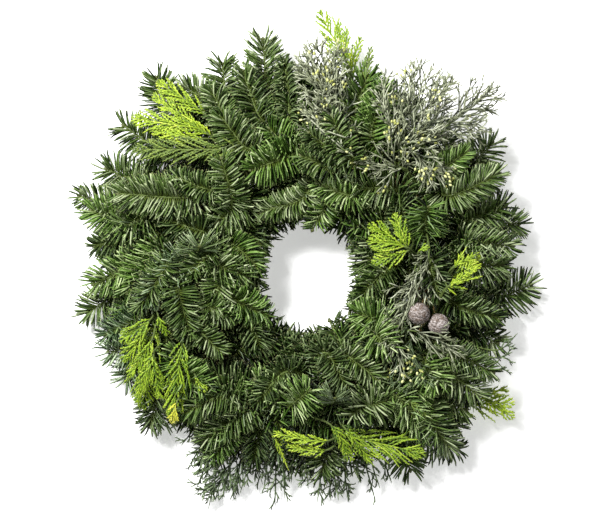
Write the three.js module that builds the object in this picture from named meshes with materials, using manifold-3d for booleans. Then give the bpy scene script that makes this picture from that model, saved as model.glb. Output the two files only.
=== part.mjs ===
// Fresh evergreen wreath lying on its flat back. Millimetres, +Z up.
import * as THREE from "three";
import { mergeVertices } from "three/addons/utils/BufferGeometryUtils.js";
import Module from "manifold-3d";

const wasm = await Module();
wasm.setup();

// Straw ring: an oval section cut flat underneath
const RING_RADIUS = 130;
const RING_HALF_WIDTH = 21;
const RING_HALF_HEIGHT = 20;
const RING_CENTRE_HEIGHT = 17;
const RING_SIDES = 48;
const RING_SECTION_STEPS = 9;

// Binding wire: one long helix round the ring
const WIRE_TURNS = 20;
const WIRE_RADIUS = 0.7;
const WIRE_START = 4;
const WIRE_SIDES = 3;
const WIRE_OVER_STEMS = 5.8;
const WIRE_SECTION_ANGLES = [-30, 0, 30, 60, 90, 120, 150, 180, 210];
const WIRE_UNDER_REACH = 16;
const WIRE_UNDER_HEIGHT = 0.95;
const GROOVE_WIDTH = 3;
const GROOVE_DEPTH = 2;
const GROOVE_LENGTH = 40;

// Clearances
const GAP = 0.4;
const SEAT_GAP = 0.42;
const SPRAY_SEAT_LIFT = 0.28;
const OWN_GAP = 0.1;
const ROOT_SHARE = 0.24;
const LOWEST = 0.6;
const SAME_PLACE = 0.001;

// Stems, three-sided bars that leave the straw with a small lift
const STEM_SIDES = 3;
const STEM_RADIUS = 1.8;
const STEM_TIP_RADIUS = 1.2;
const STEM_LIFT = 0.6;
const CURVE_SAMPLES = 80;
const STEM_BARE_STEPS = 4;
const SPRAY_BARE_STEPS = 4;
const BUTT_LENGTH = 9;

// Noble fir needles
const NEEDLE_RADIUS = 2;
const NEEDLE_LENGTH = 24;
const NEEDLE_STEP = 4.7;
const NEEDLES_BACK = 12;
const NEEDLE_LIFT = 0.3;
const NEEDLE_LEAN = 1.12;
const END_NEEDLE_LEAN = 0.55;
const NEEDLE_LEAN_SPREAD = 0.16;
const NEEDLE_SWING = 0.9;
const LENGTH_SPREAD = 0.24;
const END_NEEDLE_SHORTER = 0.25;
const SHOOT_TWIST = 0.2;
const BUD_LENGTH = 4;
const SIDE_NEEDLES_START = 0.25;
const SIDE_LOWEST_PLACE = 0.7;
const SIDE_BEND = 0.14;
const LEAST_FACING = 0.2;
const GOLDEN_ANGLE = 2.39996;

// Branchlets of the cypresses, radians and millimetres
const FROND = {
  stem: 1.7, stemTip: 0.9, bud: 6, radius: 1.2, spread: 0.62, forkSpread: 0.55, rise: 0.12, lift: -0.05,
};
const TWIG = {
  stem: 1.5, stemTip: 0.8, bud: 5, radius: 0.9, spread: 0.66, forkSpread: 0.7, rise: 0.5, lift: 0.1,
};
const FORK_PLACE = 0.4;
const FORK_SHARE = 0.5;
const BRANCHLET_ROOT = 2.4;
const BRANCHLET_SPREAD = 0.28;
const FORK_SPREAD = 0.3;

// Seed cones: shield scales parted by grooves
const STALK_RADIUS = 1.5;
const STALK_PLACES = [0, 0.2, 0.4, 0.6, 0.8, 1];
const SCALE_COUNT = 11;
const CONE_DETAIL = 3;
const SCALE_BOSS_ANGLE = 0.16;
const SCALE_GROOVE_ANGLE = 0.32;
const SCALE_BOSS_SHARE = 0.04;
const SCALE_GROOVE_SHARE = 0.1;

const COLOURS = {
  straw: 0xb49a5e,
  wire: 0x35502f,
  fir: 0x4a6a4c,
  glaucous: 0x7d9184,
  lightFir: 0x6f8f62,
  darkFir: 0x35543c,
  gold: 0xa9bf3a,
  goldGreen: 0x6f9438,
  greyGreen: 0x7c8a70,
  darkGreen: 0x5a6748,
  cone: 0x8b7d80,
};

// Fir shoots. seat: ring angle and section angle in degrees, way: the side the stem runs to along the
// ring, base and tip: where the needles start and where the shoot ends, from the ring's centre.
const FIR = [
  { name: "fir_01", seat: [116, 22], way: 1, base: [-78, 160, 30], tip: [-84, 203, 36],
    sides: [{ from: 0.45, tip: [-122, 180, 26] }] },
  { name: "fir_02", seat: [96, 34], way: 1, base: [-36, 158, 38], tip: [-43, 228, 32] },
  { name: "fir_03", seat: [114, 8], way: 1, base: [-135, 158, 14], tip: [-150, 190, 14] },
  { name: "fir_04", seat: [133, 12], way: 1, base: [-154, 124, 24], tip: [-182, 142, 22] },
  { name: "fir_05", seat: [148, 8], way: 1, base: [-174, 88, 18], tip: [-199, 99, 18] },
  { name: "fir_06", seat: [160, 24], way: 1, base: [-172, 43, 36], tip: [-214, 57, 38],
    colour: "lightFir", sides: [{ from: 0.5, tip: [-202, 24, 20] }] },
  { name: "fir_07", seat: [134, 84], way: 1, base: [-110, 72, 60], tip: [-186, 74, 66] },
  { name: "fir_08", seat: [160, 58], way: 1, base: [-142, 22, 48], tip: [-178, -24, 46],
    colour: "lightFir" },
  { name: "fir_09", seat: [170, 96], way: 1, base: [-124, 6, 64], tip: [-157, -30, 66],
    colour: "glaucous" },
  { name: "fir_10", seat: [184, 8], way: 1, base: [-184, -24, 14], tip: [-218, -44, 12] },
  { name: "fir_11", seat: [166, 118], way: 1, base: [-108, 15, 62], tip: [-106, 21, 92] },
  { name: "fir_12", seat: [186, 92], way: 1, base: [-122, -32, 60], tip: [-112, -68, 66] },
  { name: "fir_13", seat: [150, 158], way: 1, base: [-80, 32, 46], tip: [-64, 8, 52] },
  { name: "fir_14", seat: [190, 150], way: 1, base: [-82, -27, 46], tip: [-54, -43, 54],
    colour: "lightFir" },
  { name: "fir_15", seat: [196, 20], way: 1, base: [-172, -80, 28], tip: [-197, -84, 30],
    colour: "glaucous", sides: [{ from: 0.5, tip: [-180, -112, 24] }] },
  { name: "fir_16", seat: [216, 8], way: 1, base: [-148, -130, 14], tip: [-144, -152, 14] },
  { name: "fir_17", seat: [208, 66], way: 1, base: [-128, -98, 56], tip: [-102, -120, 62],
    colour: "lightFir" },
  { name: "fir_18", seat: [256, 96], way: -1, base: [-64, -118, 52], tip: [-95, -108, 56],
    colour: "darkFir", sides: [{ from: 0.4, tip: [-94, -150, 42] }] },
  { name: "fir_19", seat: [290, 74], way: 1, base: [62, -138, 62], tip: [78, -132, 68],
    sides: [{ from: 0.55, tip: [46, -147, 62] }] },
  { name: "fir_20", seat: [258, 80], way: 1, base: [-16, -138, 58], tip: [3, -122, 80],
    colour: "lightFir", sides: [{ from: 0.6, tip: [-50, -112, 56] }] },
  { name: "fir_21", seat: [262, 160], way: 1, base: [-6, -98, 42], tip: [-3, -74, 44],
    colour: "darkFir",
    sides: [{ from: 0.5, tip: [-24, -75, 40] }, { from: 0.7, tip: [18, -76, 40] }] },
  { name: "fir_22", seat: [322, 146], way: 1, base: [78, -56, 56], tip: [54, -46, 60],
    colour: "lightFir" },
  { name: "fir_23", seat: [36, 160], way: -1, base: [75, 36, 42], tip: [58, -16, 44] },
  { name: "fir_24", seat: [34, 106], way: 1, base: [92, 78, 56], tip: [53, 80, 62] },
  { name: "fir_25", seat: [84, 156], way: 1, base: [4, 88, 44], tip: [4, 66, 50] },
  { name: "fir_26", seat: [122, 142], way: 1, base: [-60, 66, 54], tip: [-88, 46, 62] },
  { name: "fir_27", seat: [88, 98], way: 1, base: [-16, 112, 62], tip: [-54, 98, 72],
    colour: "lightFir", sides: [{ from: 0.5, tip: [-36, 138, 62] }] },
  { name: "fir_28", seat: [66, 52], way: 1, base: [46, 138, 50], tip: [61, 192, 44],
    colour: "lightFir", sides: [{ from: 0.5, tip: [82, 164, 48] }] },
  { name: "fir_29", seat: [26, 14], way: 1, base: [160, 96, 24], tip: [186, 124, 24],
    sides: [{ from: 0.4, tip: [186, 86, 30] }] },
  { name: "fir_30", seat: [12, 36], way: 1, base: [162, 46, 40], tip: [197, 61, 38],
    sides: [{ from: 0.35, tip: [212, 44, 26] }] },
  { name: "fir_31", seat: [346, 8], way: 1, base: [188, -31, 15], tip: [225, -17, 16] },
  { name: "fir_32", seat: [332, 16], way: 1, base: [166, -66, 26], tip: [191, -75, 26] },
  { name: "fir_33", seat: [12, 78], way: 1, base: [119, 34, 56], tip: [122, 60, 84],
    colour: "lightFir" },
  { name: "fir_34", seat: [312, 128], way: 1, base: [68, -64, 66], tip: [82, -79, 74],
    colour: "lightFir" },
  { name: "fir_35", seat: [330, 50], way: -1, base: [118, -92, 58], tip: [131, -115, 62],
    colour: "lightFir", sides: [{ from: 0.4, tip: [104, -148, 46] }] },
  { name: "fir_36", seat: [314, 18], way: -1, base: [124, -130, 28], tip: [160, -141, 30],
    sides: [{ from: 0.4, tip: [150, -158, 18] }] },
  { name: "fir_37", seat: [292, 8], way: 1, base: [92, -168, 16], tip: [104, -202, 16],
    sides: [{ from: 0.35, tip: [150, -182, 14] }] },
  { name: "fir_38", seat: [276, 14], way: 1, base: [24, -170, 31], tip: [16, -202, 32] },
];

// Flat fronds of golden cypress. width: tip to tip of the side branchlets, pairs: how many of them.
const GOLD = [
  { name: "gold_frond_01", seat: [112, 50], way: 1, base: [-98, 152, 46], tip: [-150, 187, 42],
    width: 28, pairs: 6 },
  { name: "gold_frond_02", seat: [124, 70], way: 1, base: [-96, 135, 58], tip: [-175, 150, 52],
    width: 30, pairs: 8 },
  { name: "gold_frond_03", seat: [118, 78], way: 1, base: [-66, 118, 66],
    tip: [-174, 118, 66], width: 28, pairs: 9, colour: "goldGreen" },
  { name: "gold_frond_04", seat: [192, 48], way: 1, base: [-152, -50, 56], tip: [-164, -142, 48],
    width: 44, pairs: 9 },
  { name: "gold_frond_05", seat: [202, 76], way: 1, base: [-122, -70, 68], tip: [-134, -153, 60],
    width: 28, pairs: 8 },
  { name: "gold_frond_06", seat: [294, 30], way: -1, base: [14, -160, 34], tip: [-34, -170, 42],
    width: 30, pairs: 5 },
  { name: "gold_frond_07", seat: [270, 40], way: 1, base: [28, -160, 48], tip: [120, -187, 52],
    width: 38, pairs: 9 },
  { name: "gold_frond_08", seat: [308, 6], way: 1, base: [150, -134, 20], tip: [210, -135, 26],
    width: 30, pairs: 6 },
  { name: "gold_frond_09", seat: [352, 106], way: 1, base: [100, 20, 66], tip: [62, 44, 78],
    width: 40, pairs: 6 },
  { name: "gold_frond_10", seat: [344, 60], way: 1, base: [144, -20, 56], tip: [174, 14, 58],
    width: 30, pairs: 6 },
  { name: "gold_frond_11", seat: [72, 14], way: 1, base: [46, 180, 30], tip: [13, 259, 34],
    width: 34, pairs: 8 },
];

// Round-twigged grey cypress
const GREY = [
  { name: "grey_spray_01", seat: [64, 84], way: 1, base: [40, 116, 66], tip: [14, 224, 66],
    width: 62, pairs: 8 },
  { name: "grey_spray_02", seat: [40, 70], way: 1, base: [92, 102, 66], tip: [126, 200, 62],
    width: 84, pairs: 9 },
  { name: "grey_spray_03", seat: [36, 50], way: 1, base: [104, 112, 50], tip: [188, 180, 52],
    width: 60, pairs: 8 },
  { name: "grey_spray_04", seat: [0, 96], way: -1, base: [126, 10, 68], tip: [92, -60, 72],
    width: 40, pairs: 7 },
  { name: "grey_spray_05", seat: [326, 100], way: -1, base: [104, -64, 60],
    tip: [104, -122, 68], width: 44, pairs: 7, colour: "darkGreen" },
  { name: "grey_spray_06", seat: [246, 16], way: 1, base: [-66, -176, 20],
    tip: [-95, -229, 12], width: 56, pairs: 7, colour: "darkGreen" },
  { name: "grey_spray_07", seat: [262, 8], way: 1, base: [22, -192, 14],
    tip: [32, -226, 12], width: 56, pairs: 6, colour: "darkGreen" },
];

// Round seed cones on their stalks
const CONES = [
  { name: "seed_cone_01", seat: [334, 82], way: 1, centre: [111, -45, 80], radius: 11.6 },
  { name: "seed_cone_02", seat: [336, 66], way: 1, centre: [133, -56, 76], radius: 11.2 },
];

// Repeatable random numbers, one stream a piece
function randomStream(seed) {
  let state = seed >>> 0;
  return function next() {
    state = (state + 0x6d2b79f5) >>> 0;
    let mixed = Math.imul(state ^ (state >>> 15), state | 1);
    mixed ^= mixed + Math.imul(mixed ^ (mixed >>> 7), mixed | 61);
    return ((mixed ^ (mixed >>> 14)) >>> 0) / 4294967296;
  };
}

// Closed three.js geometry to a solid, and back
function solidFrom(geometry) {
  const bare = geometry.clone();
  bare.deleteAttribute("normal");
  bare.deleteAttribute("uv");
  const merged = mergeVertices(bare, 1e-4);
  const mesh = new wasm.Mesh({
    numProp: 3,
    vertProperties: new Float32Array(merged.attributes.position.array),
    triVerts: new Uint32Array(merged.index.array),
  });
  return new wasm.Manifold(mesh);
}

function meshFrom(solid, name, colour, roughness, metalness = 0) {
  const data = solid.getMesh();
  const geometry = new THREE.BufferGeometry();
  geometry.setAttribute("position", new THREE.BufferAttribute(new Float32Array(data.vertProperties), 3));
  geometry.setIndex(new THREE.BufferAttribute(new Uint32Array(data.triVerts), 1));
  geometry.computeVertexNormals();
  const material = new THREE.MeshStandardMaterial({ color: colour, roughness, metalness });
  material.flatShading = true;
  const mesh = new THREE.Mesh(geometry, material);
  mesh.name = name;
  return mesh;
}

// Where things are on the ring
function sectionPoint(ringAngle, outward, height) {
  const reach = RING_RADIUS + outward;
  return new THREE.Vector3(reach * Math.cos(ringAngle), reach * Math.sin(ringAngle), height);
}

// Corners of the section, from the outer end of its flat over the top to the inner end
function sectionCorner(index) {
  const flat = Math.asin(RING_CENTRE_HEIGHT / RING_HALF_HEIGHT);
  const angle = -flat + ((Math.PI + 2 * flat) * index) / RING_SECTION_STEPS;
  return new THREE.Vector2(
    RING_HALF_WIDTH * Math.cos(angle), RING_CENTRE_HEIGHT + RING_HALF_HEIGHT * Math.sin(angle),
  );
}

// A place on the section's straight sides, moved out by an offset
function surfacePoint(ringAngle, sectionAngle, offset) {
  const flat = Math.asin(RING_CENTRE_HEIGHT / RING_HALF_HEIGHT);
  const along = ((sectionAngle + flat) / (Math.PI + 2 * flat)) * RING_SECTION_STEPS;
  const index = THREE.MathUtils.clamp(Math.floor(along), 0, RING_SECTION_STEPS - 1);
  const [from, to] = [sectionCorner(index), sectionCorner(index + 1)];
  const side = to.clone().sub(from);
  const normal = new THREE.Vector2(side.y, -side.x).normalize();
  const point = from.addScaledVector(side, along - index).addScaledVector(normal, offset);
  return sectionPoint(ringAngle, point.x, point.y);
}

// The wire crosses a section angle once a turn: the crossing nearest to a wanted ring angle
function nearestCrossing(ringAngle, sectionAngle) {
  const pitch = 360 / WIRE_TURNS;
  const first = WIRE_START + (sectionAngle / 360) * pitch;
  const turn = Math.round((ringAngle - first) / pitch);
  return THREE.MathUtils.degToRad(first + turn * pitch);
}

// How far the corners of a spray's three-sided stem reach towards the straw
function reachTowardsRing(row, radius) {
  const sectionAngle = THREE.MathUtils.degToRad(row.seat[1]);
  const towards = Math.PI + (row.way > 0 ? sectionAngle : Math.PI - sectionAngle);
  const corners = [0, 1, 2].map((corner) => Math.PI + (corner * 2 * Math.PI) / STEM_SIDES);
  return SPRAY_SEAT_LIFT + radius * Math.max(...corners.map((corner) => Math.cos(corner - towards)));
}

// A stem runs under the wire, leaves the straw and bends to its base and tip
function stemCurve(row, reachDown) {
  const sectionAngle = THREE.MathUtils.degToRad(row.seat[1]);
  const crossing = nearestCrossing(row.seat[0], row.seat[1]);
  const offset = SEAT_GAP + reachDown;
  const step = (row.way * BUTT_LENGTH) / RING_RADIUS;
  const points = [
    surfacePoint(crossing - step, sectionAngle, offset),
    surfacePoint(crossing, sectionAngle, offset),
    surfacePoint(crossing + step, sectionAngle, offset + STEM_LIFT),
  ];
  for (const place of [row.base, row.tip]) {
    if (place) {
      points.push(new THREE.Vector3(...place));
    }
  }
  return new THREE.CatmullRomCurve3(points);
}

// Stem radii along the length
function shootRadius(place) {
  return THREE.MathUtils.lerp(STEM_RADIUS, STEM_TIP_RADIUS, place);
}

function taperOf(form) {
  return (place) => THREE.MathUtils.lerp(form.stem, form.stemTip, place);
}

// Frames carried along a curve at the given shares of its length
function framesAlong(curve, places) {
  const frames = [];
  const normal = acrossStem(curve.getTangentAt(places[0])).upright;
  let last = curve.getTangentAt(places[0]);
  for (const place of places) {
    const tangent = curve.getTangentAt(place);
    normal.applyQuaternion(new THREE.Quaternion().setFromUnitVectors(last, tangent));
    last = tangent;
    frames.push({ point: curve.getPointAt(place), tangent, normal: normal.clone() });
  }
  return frames;
}

// A closed bar bent along a curve, from a cylinder; its end is drawn out to a bud
function bentBar(curve, places, sides, radiusAt, twist, bud) {
  const steps = places.length - 1;
  const shape = new THREE.CylinderGeometry(1, 1, 1, sides, steps);
  const frames = framesAlong(curve, places);
  const position = shape.attributes.position;
  for (let i = 0; i < position.count; i += 1) {
    const step = Math.round((position.getY(i) + 0.5) * steps);
    const { point, tangent, normal } = frames[step];
    const radius = radiusAt(places[step]);
    const turned = normal.clone().applyAxisAngle(tangent, twist * step);
    const across = tangent.clone().cross(turned);
    const place = point.clone();
    place.addScaledVector(turned, position.getX(i) * radius);
    place.addScaledVector(across, -position.getZ(i) * radius);
    if (step === steps && Math.hypot(position.getX(i), position.getZ(i)) < 0.01) {
      place.addScaledVector(tangent, bud);
    }
    position.setXYZ(i, place.x, place.y, place.z);
  }
  shape.deleteAttribute("normal");
  shape.deleteAttribute("uv");
  return mergeVertices(shape, 1e-4);
}

// The bar's faces as a list that can be pulled out. Face of a side and step: two triangles each
function growthFrom(geometry, sides, steps) {
  const position = geometry.attributes.position;
  const corners = [];
  for (let i = 0; i < position.count; i += 1) {
    corners.push(new THREE.Vector3().fromBufferAttribute(position, i));
  }
  const faces = [];
  for (let i = 0; i < geometry.index.count; i += 3) {
    faces.push([geometry.index.getX(i), geometry.index.getX(i + 1), geometry.index.getX(i + 2)]);
  }
  const faceAt = (side, step, half) => 2 * (side * steps + (steps - 1 - step)) + half;
  return { corners, faces, faceAt };
}

function faceFrame(growth, face) {
  const [a, b, c] = growth.faces[face].map((i) => growth.corners[i]);
  const centre = a.clone().add(b).add(c).divideScalar(3);
  const normal = b.clone().sub(a).cross(c.clone().sub(a)).normalize();
  return { centre, normal };
}

// Draws a face out to a point
function drawPoint(growth, face, point) {
  const [a, b, c] = growth.faces[face];
  const tip = growth.corners.push(point) - 1;
  growth.faces[face] = [a, b, tip];
  growth.faces.push([b, c, tip], [c, a, tip]);
}

// Pulls a face out as a bar to a new place, and gives the faces of its sides
function pullBar(growth, face, place, radius) {
  const { centre, normal } = faceFrame(growth, face);
  const turn = new THREE.Quaternion().setFromUnitVectors(normal, place.clone().sub(centre).normalize());
  const old = growth.faces[face];
  const fresh = old.map((i) => {
    const spoke = growth.corners[i].clone().sub(centre).setLength(radius).applyQuaternion(turn);
    return growth.corners.push(spoke.add(place)) - 1;
  });
  growth.faces[face] = fresh;
  const sides = [];
  for (let i = 0; i < 3; i += 1) {
    const next = (i + 1) % 3;
    sides.push(growth.faces.push([old[i], old[next], fresh[next]]) - 1);
    growth.faces.push([old[i], fresh[next], fresh[i]]);
  }
  return sides;
}

// Whether the faces changed or added since a copy of them was made cross any other
function crossesItself(growth, older) {
  const cornersOf = (face) => face.map((i) => growth.corners[i]);
  const fresh = growth.faces.filter((face, i) => face !== older[i]);
  return fresh.some((face) => {
    const corners = cornersOf(face);
    const box = new THREE.Box3().setFromPoints(corners);
    return growth.faces.some((other) => {
      if (other.filter((i) => face.includes(i)).length > 1) {
        return false;
      }
      const others = cornersOf(other);
      if (!box.intersectsBox(new THREE.Box3().setFromPoints(others))) {
        return false;
      }
      return [0, 1, 2].some((i) => {
        const next = (i + 1) % 3;
        return edgeCuts(corners[i], corners[next], others) || edgeCuts(others[i], others[next], corners);
      });
    });
  });
}

function edgeCuts(from, to, triangle) {
  const ray = new THREE.Ray(from, to.clone().sub(from).normalize());
  const hit = ray.intersectTriangle(...triangle, false, new THREE.Vector3());
  const along = hit === null ? 0 : hit.distanceTo(from);
  return along > SAME_PLACE && along < from.distanceTo(to) - SAME_PLACE;
}

// Makes a change that is undone where it would make the surface cross itself
function tryChange(growth, change) {
  const older = growth.faces.slice();
  const count = growth.corners.length;
  change();
  if (crossesItself(growth, older)) {
    growth.faces = older;
    growth.corners.length = count;
    return false;
  }
  return true;
}

function solidFromGrowth(growth) {
  const mesh = new wasm.Mesh({
    numProp: 3,
    vertProperties: new Float32Array(growth.corners.flatMap((corner) => corner.toArray())),
    triVerts: new Uint32Array(growth.faces.flat()),
  });
  return new wasm.Manifold(mesh);
}

// Room between pieces, from tapered bars that stand for them
const bars = [];

function addBar(owner, start, end, startRadius, endRadius) {
  bars.push({ owner, start, end, startRadius, endRadius });
}

function addCurveBars(owner, curve, places, radiusAt, bud) {
  for (let i = 0; i + 1 < places.length; i += 1) {
    const [from, to] = [places[i], places[i + 1]];
    addBar(owner, curve.getPointAt(from), curve.getPointAt(to), radiusAt(from), radiusAt(to));
  }
  const end = curve.getPointAt(1);
  addBar(owner, end, end.clone().addScaledVector(curve.getTangentAt(1), bud), radiusAt(1), 0.2);
}

function leafBar(owner, start, end, startRadius, endRadius) {
  return { owner, leaf: true, start, end, startRadius, endRadius };
}

function barGap(a, b) {
  const along = a.end.clone().sub(a.start);
  const other = b.end.clone().sub(b.start);
  const between = a.start.clone().sub(b.start);
  const aa = along.dot(along);
  const bb = other.dot(other);
  const ab = along.dot(other);
  const ac = along.dot(between);
  const bc = other.dot(between);
  const spread = aa * bb - ab * ab;
  let s = spread > 1e-9 ? THREE.MathUtils.clamp((ab * bc - ac * bb) / spread, 0, 1) : 0;
  const t = THREE.MathUtils.clamp((ab * s + bc) / bb, 0, 1);
  s = THREE.MathUtils.clamp((ab * t - ac) / aa, 0, 1);
  const gap = between.addScaledVector(along, s).addScaledVector(other, -t).length();
  const radius = THREE.MathUtils.lerp(a.startRadius, a.endRadius, s);
  return gap - radius - THREE.MathUtils.lerp(b.startRadius, b.endRadius, t);
}

function ringGap(point) {
  const outward = (Math.hypot(point.x, point.y) - RING_RADIUS) / RING_HALF_WIDTH;
  const upward = (point.z - RING_CENTRE_HEIGHT) / RING_HALF_HEIGHT;
  return (Math.hypot(outward, upward) - 1) * RING_HALF_HEIGHT;
}

// Clear of the straw, of the surface below, of other pieces and of the outer part of its own neighbours
function isClear(owner, bar) {
  if (Math.min(bar.start.z, bar.end.z) < LOWEST) {
    return false;
  }
  for (const share of [0, 0.33, 0.66, 1]) {
    if (ringGap(bar.start.clone().lerp(bar.end, share)) < bar.startRadius * (1 - share) + GAP) {
      return false;
    }
  }
  const outer = outerPart(bar);
  return bars.every((other) => {
    if (other.owner !== owner) {
      return barGap(bar, other) > GAP;
    }
    return barGap(outer, other.leaf ? outerPart(other) : other) > OWN_GAP;
  });
}

function outerPart(bar) {
  return {
    start: bar.start.clone().lerp(bar.end, ROOT_SHARE),
    end: bar.end,
    startRadius: bar.startRadius * (1 - ROOT_SHARE),
    endRadius: bar.endRadius,
  };
}

// Directions across a stem: level and upright, square to its run
function acrossStem(tangent) {
  const level = new THREE.Vector3(0, 0, 1).cross(tangent);
  if (level.length() < 0.3) {
    level.set(1, 0, 0);
  }
  level.normalize();
  return { level, upright: tangent.clone().cross(level).normalize() };
}

// Shares of a stem's length: a few over its bare part, then evenly over its leafy part. With a root
// length, each leafy step starts with a short one where its branchlets stand.
function stepPlaces(curve, start, bareSteps, leafySteps, rootLength = 0) {
  const places = [];
  for (let i = 0; i < bareSteps; i += 1) {
    places.push((start * i) / bareSteps);
  }
  for (let i = 0; i < leafySteps; i += 1) {
    const place = start + ((1 - start) * i) / leafySteps;
    places.push(place);
    if (rootLength > 0) {
      places.push(place + rootLength / curve.getLength());
    }
  }
  places.push(1);
  return places;
}

// Tries turned, more upright and shorter leaves until one touches nothing else
const LEAF_TRIES = [
  [0, 0, 1], [0.3, 0, 1], [-0.3, 0, 1], [0, -0.2, 0.95], [0.5, -0.1, 0.9], [-0.5, -0.1, 0.9],
  [0, -0.35, 0.75], [0.4, 0.2, 0.7], [-0.4, 0.2, 0.7], [0, 0, 0.6],
];

// A length near 1, by a spread about it
function varied(spread, random) {
  return 1 + (random() - 0.5) * spread;
}

function needledShoot(owner, { curve, start, bareSteps, places }, random) {
  const steps = places.length - 1;
  const bar = bentBar(curve, places, STEM_SIDES, shootRadius, SHOOT_TWIST, BUD_LENGTH);
  const growth = growthFrom(bar, STEM_SIDES, steps);
  for (let step = bareSteps; step < steps; step += 1) {
    for (let side = 0; side < STEM_SIDES; side += 1) {
      const place = (places[step] + places[step + 1]) / 2;
      const share = (place - start) / (1 - start);
      const face = growth.faceAt(side, step, (step + side) % 2);
      const { centre, normal } = faceFrame(growth, face);
      const tangent = curve.getTangentAt(place);
      const evenLean = THREE.MathUtils.lerp(NEEDLE_LEAN, END_NEEDLE_LEAN, share ** 2);
      const lean = evenLean + (random() - 0.5) * NEEDLE_LEAN_SPREAD;
      const reach = NEEDLE_LENGTH * (1 - END_NEEDLE_SHORTER * share) * varied(LENGTH_SPREAD, random);
      const swing = (random() - 0.5) * NEEDLE_SWING;
      for (const [turn, extraLean, scale] of LEAF_TRIES) {
        const outward = normal.clone().applyAxisAngle(tangent, swing + turn);
        outward.z += NEEDLE_LIFT;
        outward.addScaledVector(tangent, -outward.dot(tangent)).normalize();
        const direction = tangent.clone().multiplyScalar(Math.cos(lean + extraLean));
        direction.addScaledVector(outward, Math.sin(lean + extraLean));
        const point = centre.clone().addScaledVector(direction, reach * scale);
        const needle = leafBar(owner, centre, point, NEEDLE_RADIUS, 0.1);
        const free = direction.dot(normal) > LEAST_FACING && isClear(owner, needle);
        if (free && tryChange(growth, () => drawPoint(growth, face, point))) {
          bars.push(needle);
          break;
        }
      }
    }
  }
  return solidFromGrowth(growth);
}

// How far a frond's branchlets reach at a share of its leafy length, as a share of the widest
function frondOutline(share) {
  return Math.min(1, 0.5 + 2.2 * share) * (1 - share) ** 0.5 + 0.14;
}

// A frond or twiggy spray: branchlets left and right in about one plane, each forked twice
function branchedSpray(owner, { curve, places, row, form, random }) {
  const steps = places.length - 1;
  const stem = bentBar(curve, places, STEM_SIDES, taperOf(form), 0, form.bud);
  const growth = growthFrom(stem, STEM_SIDES, steps);
  for (let step = SPRAY_BARE_STEPS; step < steps; step += 2) {
    const share = (step - SPRAY_BARE_STEPS) / (steps - SPRAY_BARE_STEPS);
    const tangent = curve.getTangentAt((places[step] + places[step + 1]) / 2);
    const { level, upright } = acrossStem(tangent);
    for (const way of [1, -1]) {
      const side = sideFacing(growth, step, level.clone().multiplyScalar(way));
      const face = growth.faceAt(side, step, way > 0 ? 0 : 1);
      const { centre, normal } = faceFrame(growth, face);
      const rise = form.lift + form.rise * Math.sin(step * GOLDEN_ANGLE + way);
      const across = level.clone().multiplyScalar(way).addScaledVector(upright, rise).normalize();
      const widest = row.width / 2 / Math.sin(form.spread);
      const reach = widest * frondOutline(share) * varied(BRANCHLET_SPREAD, random);
      for (const [turn, extraLean, scale] of LEAF_TRIES) {
        const angle = form.spread + extraLean * 0.6;
        const direction = tangent.clone().multiplyScalar(Math.cos(angle));
        direction.addScaledVector(across, Math.sin(angle)).addScaledVector(upright, turn * 0.5).normalize();
        const point = centre.clone().addScaledVector(direction, reach * scale);
        const bar = leafBar(owner, centre, point, form.radius * 1.5, 0.9);
        const free = direction.dot(normal) > LEAST_FACING && isClear(owner, bar);
        const leaf = { direction, tangent, reach: reach * scale, form, random };
        if (free && tryChange(growth, () => forkedBranchlet(owner, growth, face, leaf))) {
          break;
        }
      }
    }
  }
  return solidFromGrowth(growth);
}

// The side of a three-sided bar that looks most the given way
function sideFacing(growth, step, direction) {
  const faces = [0, 1, 2].map((side) => growth.faceAt(side, step, 0));
  const looks = faces.map((face) => faceFrame(growth, face).normal.dot(direction));
  return looks.indexOf(Math.max(...looks));
}

function forkedBranchlet(owner, growth, face, { direction, tangent, reach, form, random }) {
  const root = faceFrame(growth, face).centre;
  const point = root.clone().addScaledVector(direction, reach);
  const knee = root.clone().addScaledVector(direction, reach * FORK_PLACE);
  pullBar(growth, face, knee, form.radius);
  const sides = pullBar(growth, face, knee.clone().addScaledVector(direction, BRANCHLET_ROOT), form.radius);
  drawPoint(growth, face, point);
  const forks = [];
  for (const towards of [1, -1]) {
    const aside = tangent.clone().addScaledVector(direction, -tangent.dot(direction));
    aside.multiplyScalar(towards).normalize();
    const looks = sides.map((side) => faceFrame(growth, side).normal.dot(aside));
    const best = sides[looks.indexOf(Math.max(...looks))];
    const { centre, normal } = faceFrame(growth, best);
    const angle = form.forkSpread + (random() - 0.5) * 0.2;
    const turned = direction.clone().multiplyScalar(Math.cos(angle));
    turned.addScaledVector(aside, Math.sin(angle));
    const end = centre.clone().addScaledVector(turned, reach * FORK_SHARE * varied(FORK_SPREAD, random));
    const edges = growth.faces[best].map((corner) => growth.corners[corner]);
    const spokes = [centre, ...edges].map((start) => leafBar(owner, start, end, form.radius * 0.7, 0.2));
    const free = turned.dot(normal) > LEAST_FACING && spokes.every((spoke) => isClear(owner, spoke));
    if (free && tryChange(growth, () => drawPoint(growth, best, end))) {
      forks.push(spokes[0]);
    }
  }
  bars.push(leafBar(owner, root, point, form.radius * 1.5, 0.9), ...forks);
}

// Share of a stem's length where its leafy part starts
function leafStart(curve, base) {
  const goal = new THREE.Vector3(...base);
  const gaps = curve.getSpacedPoints(CURVE_SAMPLES).map((point) => point.distanceTo(goal));
  return gaps.indexOf(Math.min(...gaps)) / CURVE_SAMPLES;
}

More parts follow.
